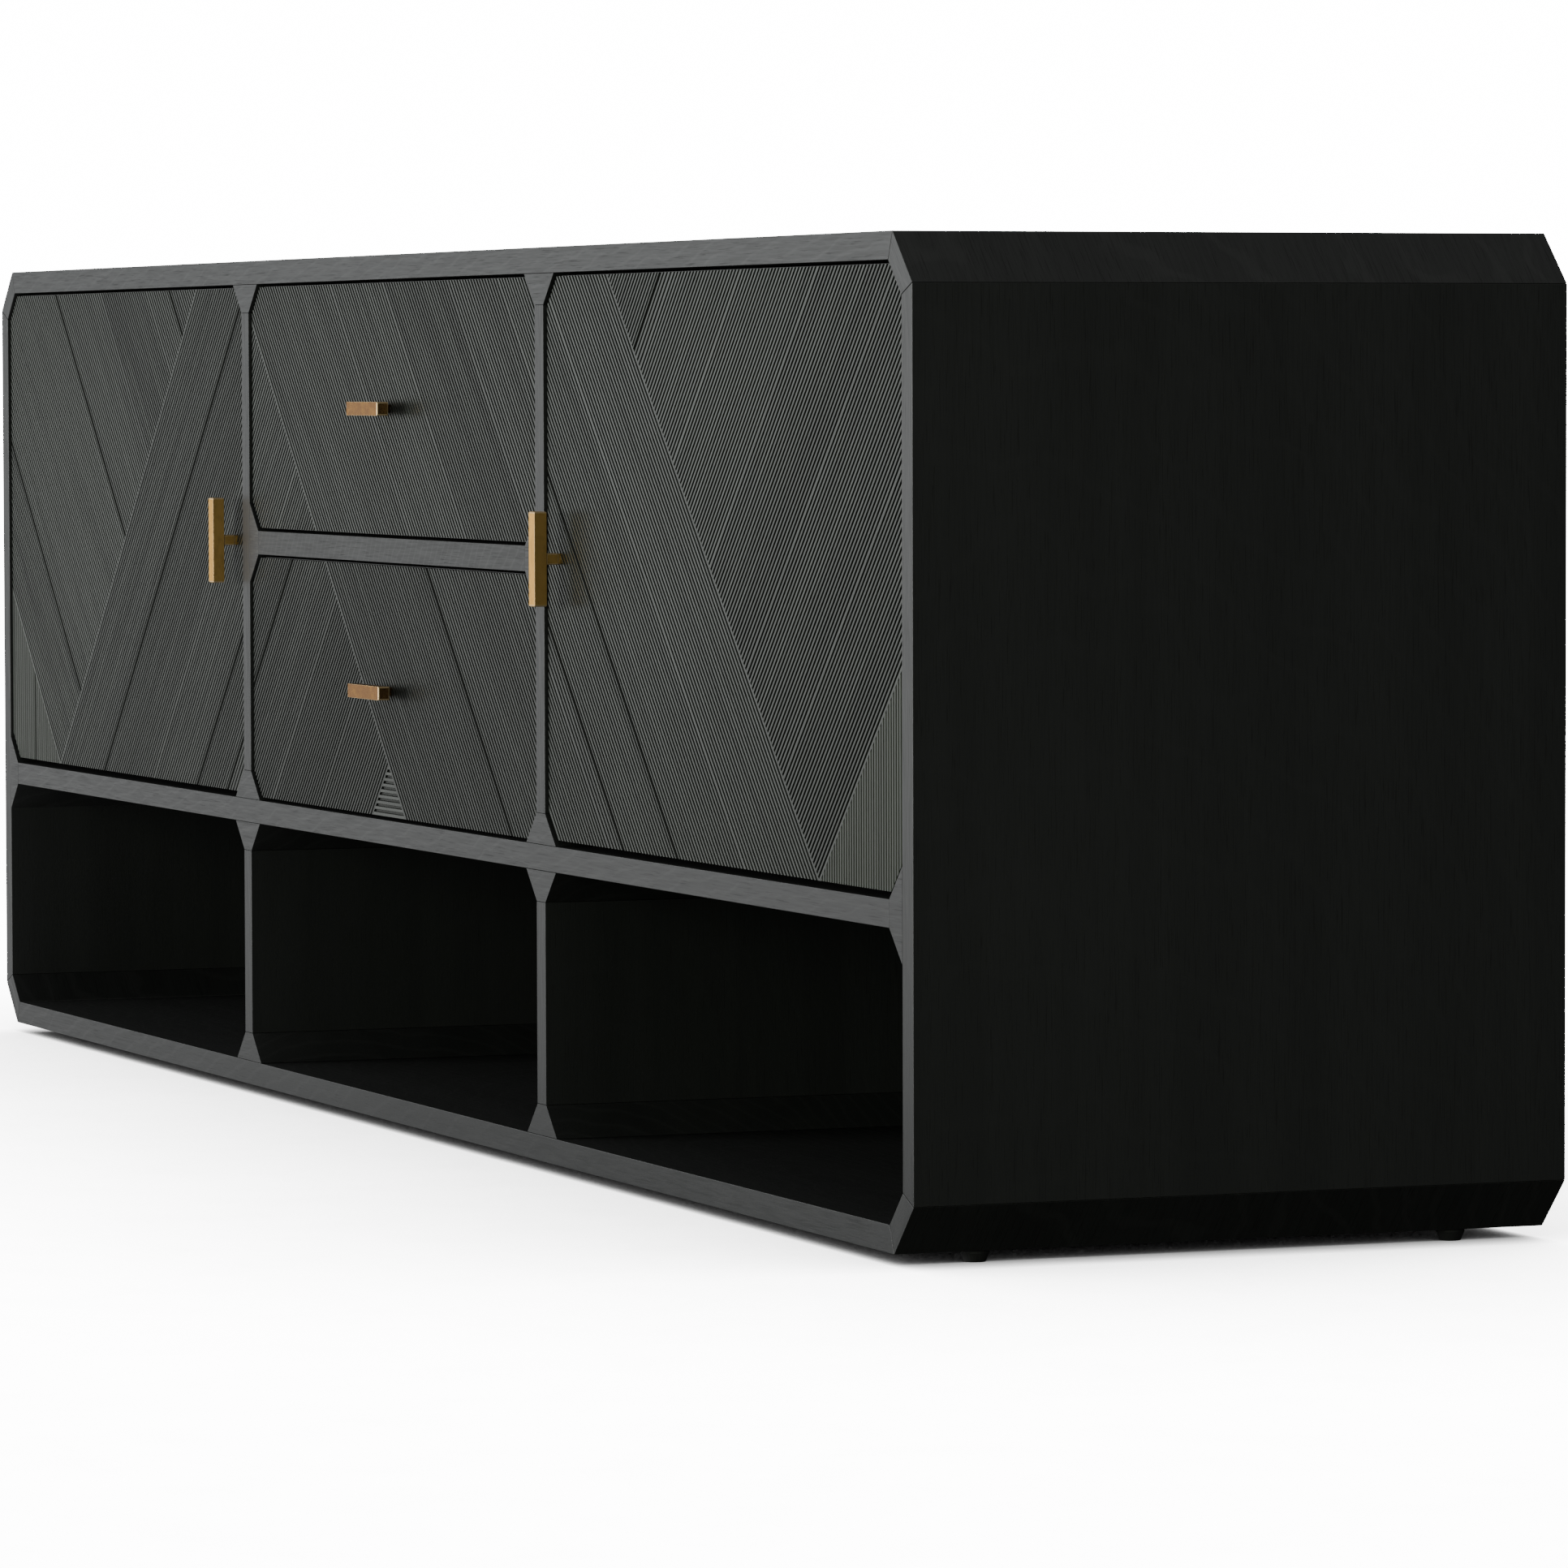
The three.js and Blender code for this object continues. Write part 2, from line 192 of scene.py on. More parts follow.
class Shader:
    """A material's node tree, with short calls for the nodes that the finishes share."""

    def __init__(self, name):
        self.material = bpy.data.materials.new(name)
        self.material.use_nodes = True
        self.tree = self.material.node_tree
        self.tree.nodes.clear()
        self.bsdf = self.node("ShaderNodeBsdfPrincipled")
        self.output = self.node("ShaderNodeOutputMaterial")
        self.link(self.bsdf.outputs["BSDF"], self.output.inputs["Surface"])

    def node(self, kind, **settings):
        made = self.tree.nodes.new(kind)
        for key, value in settings.items():
            setattr(made, key, value)
        return made

    def link(self, start, end):
        self.tree.links.new(start, end)

    def feed(self, socket, value):
        if isinstance(value, bpy.types.NodeSocket):
            self.link(value, socket)
        else:
            socket.default_value = value

    def place(self, turn=(0, 0, 0), stretch=(1, 1, 1), shift=(0, 0, 0)):
        """Object coordinates, turned so that the grain runs along X, then stretched."""
        where = self.node("ShaderNodeTexCoord")
        turned = self.node("ShaderNodeMapping", vector_type="POINT")
        turned.inputs["Rotation"].default_value = turn
        self.link(where.outputs["Object"], turned.inputs["Vector"])
        scaled = self.node("ShaderNodeMapping", vector_type="POINT")
        scaled.inputs["Scale"].default_value = stretch
        scaled.inputs["Location"].default_value = shift
        self.link(turned.outputs["Vector"], scaled.inputs["Vector"])
        return scaled.outputs["Vector"]

    def offset(self, vector, amount):
        """The vector moved by a number that differs from piece to piece."""
        moved = self.node("ShaderNodeVectorMath", operation="ADD")
        self.link(vector, moved.inputs[0])
        self.link(amount, moved.inputs[1])
        return moved.outputs["Vector"]

    def noise(self, vector, detail, roughness, distortion=0.0):
        """Noise on coordinates that are stretched already, so its own scale is 1."""
        made = self.node("ShaderNodeTexNoise")
        self.link(vector, made.inputs["Vector"])
        made.inputs["Scale"].default_value = 1.0
        made.inputs["Detail"].default_value = detail
        made.inputs["Roughness"].default_value = roughness
        made.inputs["Distortion"].default_value = distortion
        return made.outputs["Fac"]

    def spread(self, value, low, high, to_low=0.0, to_high=1.0):
        """Maps low..high to to_low..to_high, and holds it there."""
        made = self.node("ShaderNodeMapRange", interpolation_type="SMOOTHSTEP")
        self.link(value, made.inputs["Value"])
        made.inputs["From Min"].default_value = low
        made.inputs["From Max"].default_value = high
        made.inputs["To Min"].default_value = to_low
        made.inputs["To Max"].default_value = to_high
        return made.outputs["Result"]

    def maths(self, operation, first, second):
        made = self.node("ShaderNodeMath", operation=operation)
        self.feed(made.inputs[0], first)
        self.feed(made.inputs[1], second)
        return made.outputs["Value"]

    def times(self, first, second):
        return self.maths("MULTIPLY", first, second)

    def plus(self, first, second):
        return self.maths("ADD", first, second)

    def minus(self, first, second):
        return self.maths("SUBTRACT", first, second)

    def mix(self, amount, first, second):
        made = self.node("ShaderNodeMix", data_type="RGBA", blend_type="MIX")
        self.feed(made.inputs["Factor"], amount)
        self.feed(made.inputs["A"], first)
        self.feed(made.inputs["B"], second)
        return made.outputs["Result"]

    def attribute(self, name):
        made = self.node("ShaderNodeAttribute", attribute_type="GEOMETRY", attribute_name=name)
        return made.outputs["Fac"]

    def held(self, value):
        """The value held between 0 and 1."""
        made = self.node("ShaderNodeClamp")
        self.link(value, made.inputs["Value"])
        return made.outputs["Result"]

    def bump(self, height, distance, strength):
        made = self.node("ShaderNodeBump")
        made.inputs["Distance"].default_value = distance
        made.inputs["Strength"].default_value = strength
        self.link(height, made.inputs["Height"])
        return made.outputs["Normal"]

    def rings(self, turn, shift, tilt=(9, 6), scale=30.0):
        """Growth rings where a board cuts slantwise through the tree: fine pale lines."""
        tilted = self.node("ShaderNodeMapping", vector_type="POINT")
        tilted.inputs["Rotation"].default_value = (0.0, math.radians(tilt[0]), math.radians(tilt[1]))
        tilted.inputs["Location"].default_value = (0.0, 0.05, 0.09)
        self.link(self.offset(self.place(turn), self.times(shift, 0.004)), tilted.inputs["Vector"])
        wave = self.node("ShaderNodeTexWave", wave_type="RINGS", rings_direction="X")
        self.link(tilted.outputs["Vector"], wave.inputs["Vector"])
        wave.inputs["Scale"].default_value = scale
        wave.inputs["Distortion"].default_value = 7.0
        wave.inputs["Detail"].default_value = 2.0
        wave.inputs["Detail Scale"].default_value = 0.5
        return self.spread(wave.outputs["Fac"], 0.8, 1.0)

    def random_shift(self):
        """A number for each piece, spread wide enough that no two boards share their grain."""
        info = self.node("ShaderNodeObjectInfo")
        return self.times(info.outputs["Random"], 37.0)

    def set(self, **values):
        """Feeds the shader's own sockets, named with _ for each space, and gives the material."""
        for key, value in values.items():
            self.feed(self.bsdf.inputs[key.replace("_", " ")], value)
        return self.material


def rgba(three):
    """A user's colour as a shader takes it."""
    return (three[0], three[1], three[2], 1.0)


def finish(name, make):
    """The material of that name, made the first time that it is asked for."""
    return bpy.data.materials.get(name) or make(name)


# How far each direction of grain is turned from the length of the sideboard.
GRAIN_TURNS = {
    "along": (0.0, 0.0, 0.0),
    "upright": (0.0, math.radians(90), 0.0),
    "rising": (0.0, math.radians(45), 0.0),
    "falling": (0.0, math.radians(-45), 0.0),
    "deep": (0.0, 0.0, math.radians(90)),
}

# Stain that has run into the pores of the oak, and painted shade in the grooves between its reeds.
PORE_STAIN = (0.004, 0.004, 0.004, 1)
GROOVE_SHADE = (0.003, 0.003, 0.003, 1)
# The sheen of the reeds and of the brass, as each finish tints what it mirrors.
REED_SHEEN = (0.955, 1.0, 0.925, 1)
BRASS_SHEEN = {
    "pull": (1.0, 0.74, 0.4, 1),
    "knob": (1.0, 0.8, 0.63, 1),
    "edge": (1.0, 0.74, 0.4, 1),
}


def oak(grain, rubbed=False, figured=False):
    """Oak under a charcoal stain, with its grain in one direction. A figured board shows steep rings."""

    def make(name):
        c = colours()
        s = Shader(name)
        turn = GRAIN_TURNS[grain]
        shift = s.random_shift()
        broad = s.noise(s.offset(s.place(turn, (1.3, 26, 26)), shift), 3.0, 0.55, 0.4)
        fibre = s.noise(s.offset(s.place(turn, (26, 620, 620)), shift), 3.0, 0.6)
        pores = s.noise(s.offset(s.place(turn, (38, 1500, 1500)), shift), 2.0, 0.5)
        cloud = s.noise(s.offset(s.place(turn, (5, 9, 9)), shift), 3.0, 0.5)
        rings = s.rings(turn, shift, (55, 20), 34.0) if figured else s.rings(turn, shift)
        pore = s.spread(pores, 0.58, 0.70)
        face = s.mix(s.spread(broad, 0.3, 0.7, 0.0, 0.5), rgba(c.oak), rgba(c.oak_grain))
        face = s.mix(s.spread(fibre, 0.42, 0.66, 0.0, 0.4), face, rgba(c.oak_grain))
        face = s.mix(s.times(pore, 0.6), face, PORE_STAIN)
        face = s.mix(s.spread(cloud, 0.45, 0.8, 0.0, 0.1), face, rgba(c.oak_edge))
        ringed = 0.08 if grain == "upright" else 0.24
        face = s.mix(s.times(rings, ringed), face, rgba(c.oak_edge))
        # On the eased edges: a lighter oak, partly worn wood and partly a painted highlight along the
        # arris.
        if rubbed:
            face = s.mix(s.spread(broad, 0.25, 0.75, 0.45, 0.8), face, rgba(c.oak_edge))
        sheen = 0.46 if figured else 0.38
        rough = s.spread(fibre, 0.3, 0.7, sheen, sheen + 0.1)
        rough = s.plus(rough, s.times(pore, 0.15))
        rough = s.minus(rough, s.times(rings, 0.03))
        height = s.minus(s.times(fibre, 0.35), pore)
        normal = s.bump(height, 0.03 * MM, 0.5)
        return s.set(Base_Color=face, Roughness=rough, Normal=normal)

    suffix = ("_figured" if figured else "") + ("_rubbed" if rubbed else "")
    return finish(f"charcoal_oak_{grain}{suffix}", make)


def reeded_oak(grain):
    """The same oak, cut into narrow reeds: boards and reeds differ in tone, and the grooves are painted
    near black as shade.
    """

    def make(name):
        c = colours()
        s = Shader(name)
        turn = GRAIN_TURNS[grain]
        board = s.attribute("board_tone")
        reed = s.attribute("reed_tone")
        groove = s.attribute("in_groove")
        shift = s.plus(s.random_shift(), s.times(board, 11.0))
        streak = s.noise(s.offset(s.place(turn, (7, 330, 330)), shift), 4.0, 0.62, 0.3)
        broad = s.noise(s.offset(s.place(turn, (2.2, 34, 34)), shift), 3.0, 0.55, 0.5)
        pores = s.noise(s.offset(s.place(turn, (45, 1400, 1400)), shift), 2.0, 0.5)
        pore = s.spread(pores, 0.57, 0.7)
        dark = s.spread(streak, 0.36, 0.66, 0.0, 0.6)
        dark = s.plus(dark, s.spread(broad, 0.4, 0.75, 0.0, 0.4))
        dark = s.minus(dark, s.times(board, 0.3))
        dark = s.minus(dark, s.times(reed, 0.2))
        dark = s.held(dark)
        face = s.mix(dark, rgba(c.reed), rgba(c.reed_grain))
        face = s.mix(s.times(pore, 0.55), face, PORE_STAIN)
        # Painted shade: the faces in the grooves are mixed almost wholly to near black.
        face = s.mix(s.times(groove, 0.92), face, GROOVE_SHADE)
        rough = s.plus(s.spread(streak, 0.3, 0.7, 0.3, 0.4), s.times(board, -0.025))
        rough = s.plus(rough, s.times(reed, -0.02))
        rough = s.plus(rough, s.times(groove, 0.3))
        height = s.minus(s.times(streak, 0.4), pore)
        normal = s.bump(height, 0.03 * MM, 0.5)
        return s.set(Base_Color=face, Roughness=rough, Normal=normal, Specular_Tint=REED_SHEEN)

    return finish(f"reeded_oak_{grain}", make)


def brass(kind):
    """Brushed, aged brass: fine lines along the piece, with patina in soft patches."""

    def make(name):
        c = colours()
        s = Shader(name)
        knob = kind == "knob"
        turn = GRAIN_TURNS["along" if knob else "upright"]
        base = {"knob": c.knob, "pull": c.brass, "edge": c.brass_edge}[kind]
        brush = s.noise(s.place(turn, (60, 5200, 5200)), 3.0, 0.6)
        patches = s.noise(s.place(turn, (90, 140, 140)), 4.0, 0.6)
        spots = s.noise(s.place(turn, (700, 700, 700)), 2.0, 0.5)
        aged = s.spread(patches, 0.42, 0.72, 0.05, 0.15 if kind == "edge" else 0.5)
        face = s.mix(aged, rgba(base), rgba(c.brass_dark))
        face = s.mix(s.spread(spots, 0.66, 0.78, 0.0, 0.35), face, rgba(c.brass_dark))
        rough = s.spread(brush, 0.3, 0.7, 0.22 if knob else 0.38, 0.32 if knob else 0.48)
        rough = s.plus(rough, s.times(aged, 0.12))
        if kind == "edge":
            rough = s.plus(rough, 0.15)
        normal = s.bump(brush, 0.02 * MM, 0.6)
        return s.set(
            Base_Color=face,
            Roughness=rough,
            Normal=normal,
            Metallic=1.0,
            Specular_Tint=BRASS_SHEEN[kind],
        )

    return finish(f"aged_brass_{kind}", make)


def maple(grain):
    """Pale lacquered maple for the drawer boxes."""

    def make(name):
        c = colours()
        s = Shader(name)
        turn = GRAIN_TURNS[grain]
        shift = s.random_shift()
        lines = s.noise(s.offset(s.place(turn, (2.4, 120, 120)), shift), 4.0, 0.6, 0.3)
        fleck = s.noise(s.offset(s.place(turn, (120, 900, 900)), shift), 2.0, 0.5)
        face = s.mix(s.spread(lines, 0.35, 0.7, 0.0, 0.6), rgba(c.maple), rgba(c.maple_grain))
        face = s.mix(s.spread(fleck, 0.6, 0.72, 0.0, 0.3), face, rgba(c.maple_grain))
        rough = s.spread(lines, 0.3, 0.7, 0.36, 0.5)
        normal = s.bump(fleck, 0.02 * MM, 0.5)
        return s.set(Base_Color=face, Roughness=rough, Normal=normal)

    return finish(f"drawer_maple_{grain}", make)


def steel():
    """Zinc-plated pressed steel."""

    def make(name):
        c = colours()
        s = Shader(name)
        rolled = s.noise(s.place((0, 0, 0), (900, 900, 240)), 3.0, 0.6)
        cloud = s.noise(s.place((0, 0, 0), (60, 60, 60)), 3.0, 0.5)
        face = s.mix(s.spread(cloud, 0.35, 0.7, 0.0, 0.5), rgba(c.steel), (0.33, 0.33, 0.34, 1))
        rough = s.spread(rolled, 0.3, 0.7, 0.28, 0.45)
        normal = s.bump(rolled, 0.015 * MM, 0.5)
        return s.set(Base_Color=face, Roughness=rough, Normal=normal, Metallic=1.0)

    return finish("hinge_steel", make)


def back_board():
    """Black painted hardboard: its fine texture shows through the paint."""

    def make(name):
        c = colours()
        s = Shader(name)
        texture = s.noise(s.place((0, 0, 0), (520, 520, 520)), 3.0, 0.6)
        cloud = s.noise(s.place((0, 0, 0), (7, 7, 7)), 3.0, 0.5)
        face = s.mix(s.spread(cloud, 0.3, 0.75, 0.0, 0.7), rgba(c.back), (0.018, 0.018, 0.018, 1))
        face = s.mix(s.spread(texture, 0.5, 0.75, 0.0, 0.3), face, (0.005, 0.005, 0.005, 1))
        rough = s.spread(texture, 0.3, 0.7, 0.55, 0.75)
        normal = s.bump(texture, 0.08 * MM, 0.7)
        return s.set(Base_Color=face, Roughness=rough, Normal=normal, Specular_IOR_Level=0.35)

    return finish("back_board", make)


def moulded_black():
    """Black moulded glides with a fine spark texture and scuffed rims."""

    def make(name):
        c = colours()
        s = Shader(name)
        spark = s.noise(s.place((0, 0, 0), (2600, 2600, 2600)), 2.0, 0.6)
        scuff = s.noise(s.place((0, 0, 0), (300, 300, 300)), 4.0, 0.7)
        face = s.mix(s.spread(scuff, 0.55, 0.75, 0.0, 0.5), rgba(c.glide), (0.035, 0.034, 0.033, 1))
        rough = s.spread(scuff, 0.3, 0.7, 0.38, 0.6)
        normal = s.bump(spark, 0.04 * MM, 0.6)
        return s.set(Base_Color=face, Roughness=rough, Normal=normal)

    return finish("black_glide", make)


# ---------------------------------------------------------------- mesh making


# Points that fall on the same step are one point. Steps are counted per metre.
POINT_STEPS = 1e7
# Two places nearer than this, in metres, are the same. A face smaller than this, in square metres, is none.
SAME_PLACE = 1e-8
SLIVER = 1e-12
# Edges sharper than these are eased on the boards, and drawn hard on the reeds and the screws.
ARRIS_ANGLE = math.radians(35)
REED_ANGLE = math.radians(38)
SCREW_ANGLE = math.radians(40)
WELD_REACH = 0.01 * MM

# A groove's section: its floor as a share of its width, and its lip as a share of its depth.
GROOVE_FLOOR = 0.78
GROOVE_LIP = 0.3
# A strip lies in a groove below this share of its depth: it gets the painted groove shade, and a new reed
# tone starts there.
GROOVE_LINE = 0.1
# Beside a joint, as shares of the others: the reed at a tight one, and the groove at an open one.
TIGHT_REED = 0.65
OPEN_GROOVE = 1.9
NARROWEST_BOARD = 12 * MM

# What lies this near to a front's face belongs to it, and the core stays this far behind the facing.
FACE_REACH = 0.5 * MM
CORE_GAP = 0.02 * MM


def add_object(name, mesh):
    made = bpy.data.objects.new(name, mesh)
    bpy.context.scene.collection.objects.link(made)
    return made


def soften(obj, width, segments=2, edge_slot=-1):
    """Eases every real edge of a piece. The eased edges may show another finish, such as the lighter oak
    that is partly worn wood and partly a painted highlight.
    """
    weld = obj.modifiers.new("weld", "WELD")
    weld.merge_threshold = WELD_REACH
    bevel = obj.modifiers.new("arris", "BEVEL")
    bevel.width = width
    bevel.segments = segments
    bevel.limit_method = "ANGLE"
    bevel.angle_limit = ARRIS_ANGLE
    bevel.use_clamp_overlap = True
    bevel.harden_normals = True
    bevel.material = edge_slot


def dress(obj, *materials):
    """Gives a piece its finish, and the finish of its edges where it has a second one."""
    obj.data.materials.clear()
    for material in materials:
        obj.data.materials.append(material)


def clip(outline, nx, nz, limit):
    """The part of a convex outline where x * nx + z * nz is at most limit."""
    kept = []
    for index, here in enumerate(outline):
        there = outline[(index + 1) % len(outline)]
        a = here[0] * nx + here[1] * nz - limit
        b = there[0] * nx + there[1] * nz - limit
        if a <= 0:
            kept.append(here)
        if (a < 0 < b) or (b < 0 < a):
            t = a / (a - b)
            kept.append((here[0] + t * (there[0] - here[0]), here[1] + t * (there[1] - here[1])))
    return kept


def area(outline):
    """The area inside an outline: it is below zero where the outline turns the other way."""
    total = 0.0
    for index, here in enumerate(outline):
        there = outline[(index + 1) % len(outline)]
        total += here[0] * there[1] - there[0] * here[1]
    return total / 2


def reed_profile(start, end, first, last):
    """Depths across one board of reeds, as (across, depth, kind) points from start to end."""
    r = sizes()
    half = r.groove / 2
    margins = {EDGE: r.pitch - half, JOINT: TIGHT_REED * (r.pitch - r.groove) + half, GAP: 0.0}
    low = start + margins[first]
    high = end - margins[last]
    count = max(1, round((high - low) / r.pitch))
    step = (high - low) / count
    points = []
    for index in range(count + 1):
        centre = low + index * step
        opened = (index == 0 and first == GAP) or (index == count and last == GAP)
        wide = half * (OPEN_GROOVE if opened else 1.0)
        points.append((centre - wide - r.shoulder, r.crown))
        points.append((centre - wide, r.depth * GROOVE_LIP))
        points.append((centre - wide * GROOVE_FLOOR, r.depth))
        points.append((centre + wide * GROOVE_FLOOR, r.depth))
        points.append((centre + wide, r.depth * GROOVE_LIP))
        points.append((centre + wide + r.shoulder, r.crown))
        if index < count:
            points.append((centre + step / 2, 0.0))
    inside = [p for p in points if start < p[0] < end]
    depth_at_start = r.depth if first == GAP else 0.0
    depth_at_end = r.depth if last == GAP else 0.0
    return [(start, depth_at_start)] + inside + [(end, depth_at_end)]


class FieldMesh:
    """Collects the boards of one reeded field into a mesh."""

    def __init__(self, front, back, seed, tone):
        self.front = front
        self.back = back
        self.tone = tone
        self.random = random.Random(seed)
        self.points = []
        self.index = {}
        self.faces = []
        self.tones = []

    def point(self, board, x, z, depth):
        """The number of a board's point, on its face at a depth, or on its back where that is None."""
        key = (board, round(x * POINT_STEPS), round(z * POINT_STEPS), depth is None)
        if key not in self.index:
            y = self.back if depth is None else self.front + depth
            self.index[key] = len(self.points)
            self.points.append((x, y, z))
        return self.index[key]

    def add_board(self, outline, nx, nz, start, end, first, last):
        """One board: outline is its convex shape, and its reeds run across (nx, nz)."""
        profile = reed_profile(start, end, first, last)
        board = len(self.faces) + 1
        tone = self.tone + self.random.uniform(-1, 1)
        reed = self.random.uniform(-1, 1)
        last_strip = len(profile) - 2
        groove_line_depth = sizes().depth * GROOVE_LINE
        for strip in range(len(profile) - 1):
            a, depth_a = profile[strip]
            b, depth_b = profile[strip + 1]
            piece = clip(clip(outline, nx, nz, b), -nx, -nz, -a)
            # Strips in a groove carry the mark for the painted groove shade.
            groove = depth_a > groove_line_depth and depth_b > groove_line_depth
            if groove:
                reed = self.random.uniform(-1, 1)
            if len(piece) < 3 or area(piece) < SLIVER:
                continue
            across = [p[0] * nx + p[1] * nz for p in piece]
            depths = [depth_a + (depth_b - depth_a) * (u - a) / (b - a) for u in across]
            top = [self.point(board, p[0], p[1], d) for p, d in zip(piece, depths)]
            bottom = [self.point(board, p[0], p[1], None) for p in piece]
            mark = (tone, reed, 1.0 if groove else 0.0)
            self.add_face(top, mark)
            self.add_face(bottom[::-1], mark)
            for i in range(len(piece)):
                j = (i + 1) % len(piece)
                at_a = abs(across[i] - a) < SAME_PLACE and abs(across[j] - a) < SAME_PLACE
                at_b = abs(across[i] - b) < SAME_PLACE and abs(across[j] - b) < SAME_PLACE
                if (at_a and strip > 0) or (at_b and strip < last_strip):
                    continue
                self.add_face([top[i], bottom[i], bottom[j], top[j]], mark)

    def add_face(self, corners, mark):
        """A face with its tones. One whose corners have run together is left out."""
        kept = [c for i, c in enumerate(corners) if c != corners[i - 1]]
        if len(set(kept)) < 3 or len(set(kept)) != len(kept):
            return
        self.faces.append(kept)
        self.tones.append(mark)

    def build(self, name):
        mesh = bpy.data.meshes.new(name)
        mesh.from_pydata(self.points, [], self.faces)
        for number, label in enumerate(("board_tone", "reed_tone", "in_groove")):
            layer = mesh.attributes.new(label, "FLOAT", "FACE")
            layer.data.foreach_set("value", [tone[number] for tone in self.tones])
        mesh.shade_smooth()
        mesh.set_sharp_from_angle(angle=REED_ANGLE)
        return add_object(name, mesh)


def reeded_field(name, front, back, outline, normal, seams, grain, seed, tone):
    """One field of parallel reeds in several boards.

    The normal points across the reeds, and each seam is (distance across, kind of joint).
    """
    nx, nz = normal
    across = [p[0] * nx + p[1] * nz for p in outline]
    low = min(across)
    high = max(across)
    stops = [(low, EDGE)]
    for place, kind in sorted(seams):
        if low + NARROWEST_BOARD < place < high - NARROWEST_BOARD:
            stops.append((place, kind))
    stops.append((high, EDGE))
    field = FieldMesh(front, back, seed, tone)
    gap = sizes().seam / 2
    for (start, first), (end, last) in zip(stops[:-1], stops[1:]):
        a = start + (gap if first == GAP else 0.0)
        b = end - (gap if last == GAP else 0.0)
        board = clip(clip(outline, nx, nz, b), -nx, -nz, -a)
        if len(board) > 2:
            field.add_board(board, nx, nz, a, b, first, last)
    made = field.build(name)
    dress(made, reeded_oak(grain))
    return made


def core_of(name, node, facing):
    """The front's core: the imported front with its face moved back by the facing's thickness."""
    core = add_object(name, NODES[node].data.copy())
    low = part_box(node)[0].y
    for vertex in core.data.vertices:
        if vertex.co.y < low + FACE_REACH:
            vertex.co.y = low + facing + CORE_GAP
    # The second finish, on the eased edges, is a lighter oak: partly worn wood, partly a painted highlight.
    dress(core, oak("along"), oak("along", rubbed=True))
    soften(core, edges().board, 2, 1)
    return core


def inset(outline, amount):
    """A convex outline with every edge moved inwards."""
    shrunk = outline
    for index, here in enumerate(outline):
        there = outline[(index + 1) % len(outline)]
        edge = Vector(there) - Vector(here)
        if edge.length > MM:
            edge.normalize()
            shrunk = clip(shrunk, edge.y, -edge.x, here[0] * edge.y - here[1] * edge.x - amount)
    return shrunk


def front_outline(node):
    """The reeded face of a front as (x, z) corners, cut off beside the blocks and set in a little."""
    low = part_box(node)[0].y
    face = [(v.co.x, v.co.z) for v in NODES[node].data.vertices if v.co.y < low + FACE_REACH]
    outline = [face[index] for index in convex_hull_2d(face)]
    if area(outline) < 0:
        outline.reverse()
    return inset(outline, sizes().inset)


def mirrored(outline, side):
    """The outline as it is on the right, still turning the same way."""
    if side > 0:
        return outline
    return [(-x, z) for x, z in reversed(outline)]


# ---------------------------------------------------------------- case


# The mitres halve the 45 degrees of a cut corner.
MITRE_ANGLE = math.radians(22.5)
# Half the width and half the thickness of a mitre's spline, and how far its ends stay inside the boards.
SPLINE_REACH = 5 * MM
SPLINE_HALF = 1.5 * MM
SPLINE_STOP = MM

BOARD_GRAIN = {
    "top_panel": "along",
    "bottom_panel": "along",
    "middle_shelf": "along",
    "drawer_rail": "along",
    "side_panel_left": "upright",
    "side_panel_right": "upright",
    "bevel_strip_bottom_left": "falling",
    "bevel_strip_top_right": "falling",
    "bevel_strip_bottom_right": "rising",
    "bevel_strip_top_left": "rising",
}


def board_grain(node):
    """The direction of a case board's grain: the blocks carry on the board that they end."""
    if node in BOARD_GRAIN:
        return BOARD_GRAIN[node]
    if node.startswith(("divider_upper", "divider_lower")):
        return "upright"
    return "along"


def bar(name, corners, front, back):
    """A bar that runs from front to back, with four corners as its section."""
    bm = bmesh.new()
    rings = [[bm.verts.new((cx, y, cz)) for cx, cz in corners] for y in (front, back)]
    for step in range(4):
        after = (step + 1) % 4
        bm.faces.new((rings[0][step], rings[0][after], rings[1][after], rings[1][step]))
    for ring in rings:
        bm.faces.new(ring)
    bmesh.ops.recalc_face_normals(bm, faces=bm.faces)
    mesh = bpy.data.meshes.new(name)
    bm.to_mesh(mesh)
    bm.free()
    return add_object(name, mesh)


def mitre_spline(name, x, z, normal_x, normal_z, front, back):
    """The flat tongue inside a mitre: it holds the two boards together and closes the joint."""
    wide = SPLINE_REACH
    thick = SPLINE_HALF
    corners = []
    for across, along in ((-wide, -thick), (wide, -thick), (wide, thick), (-wide, thick)):
        corner_x = x + across * normal_x - along * normal_z
        corner_z = z + across * normal_z + along * normal_x
        corners.append((corner_x, corner_z))
    made = bar(name, corners, front, back)
    dress(made, oak("along"))
    soften(made, 0.3 * MM)
    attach(made, "case")


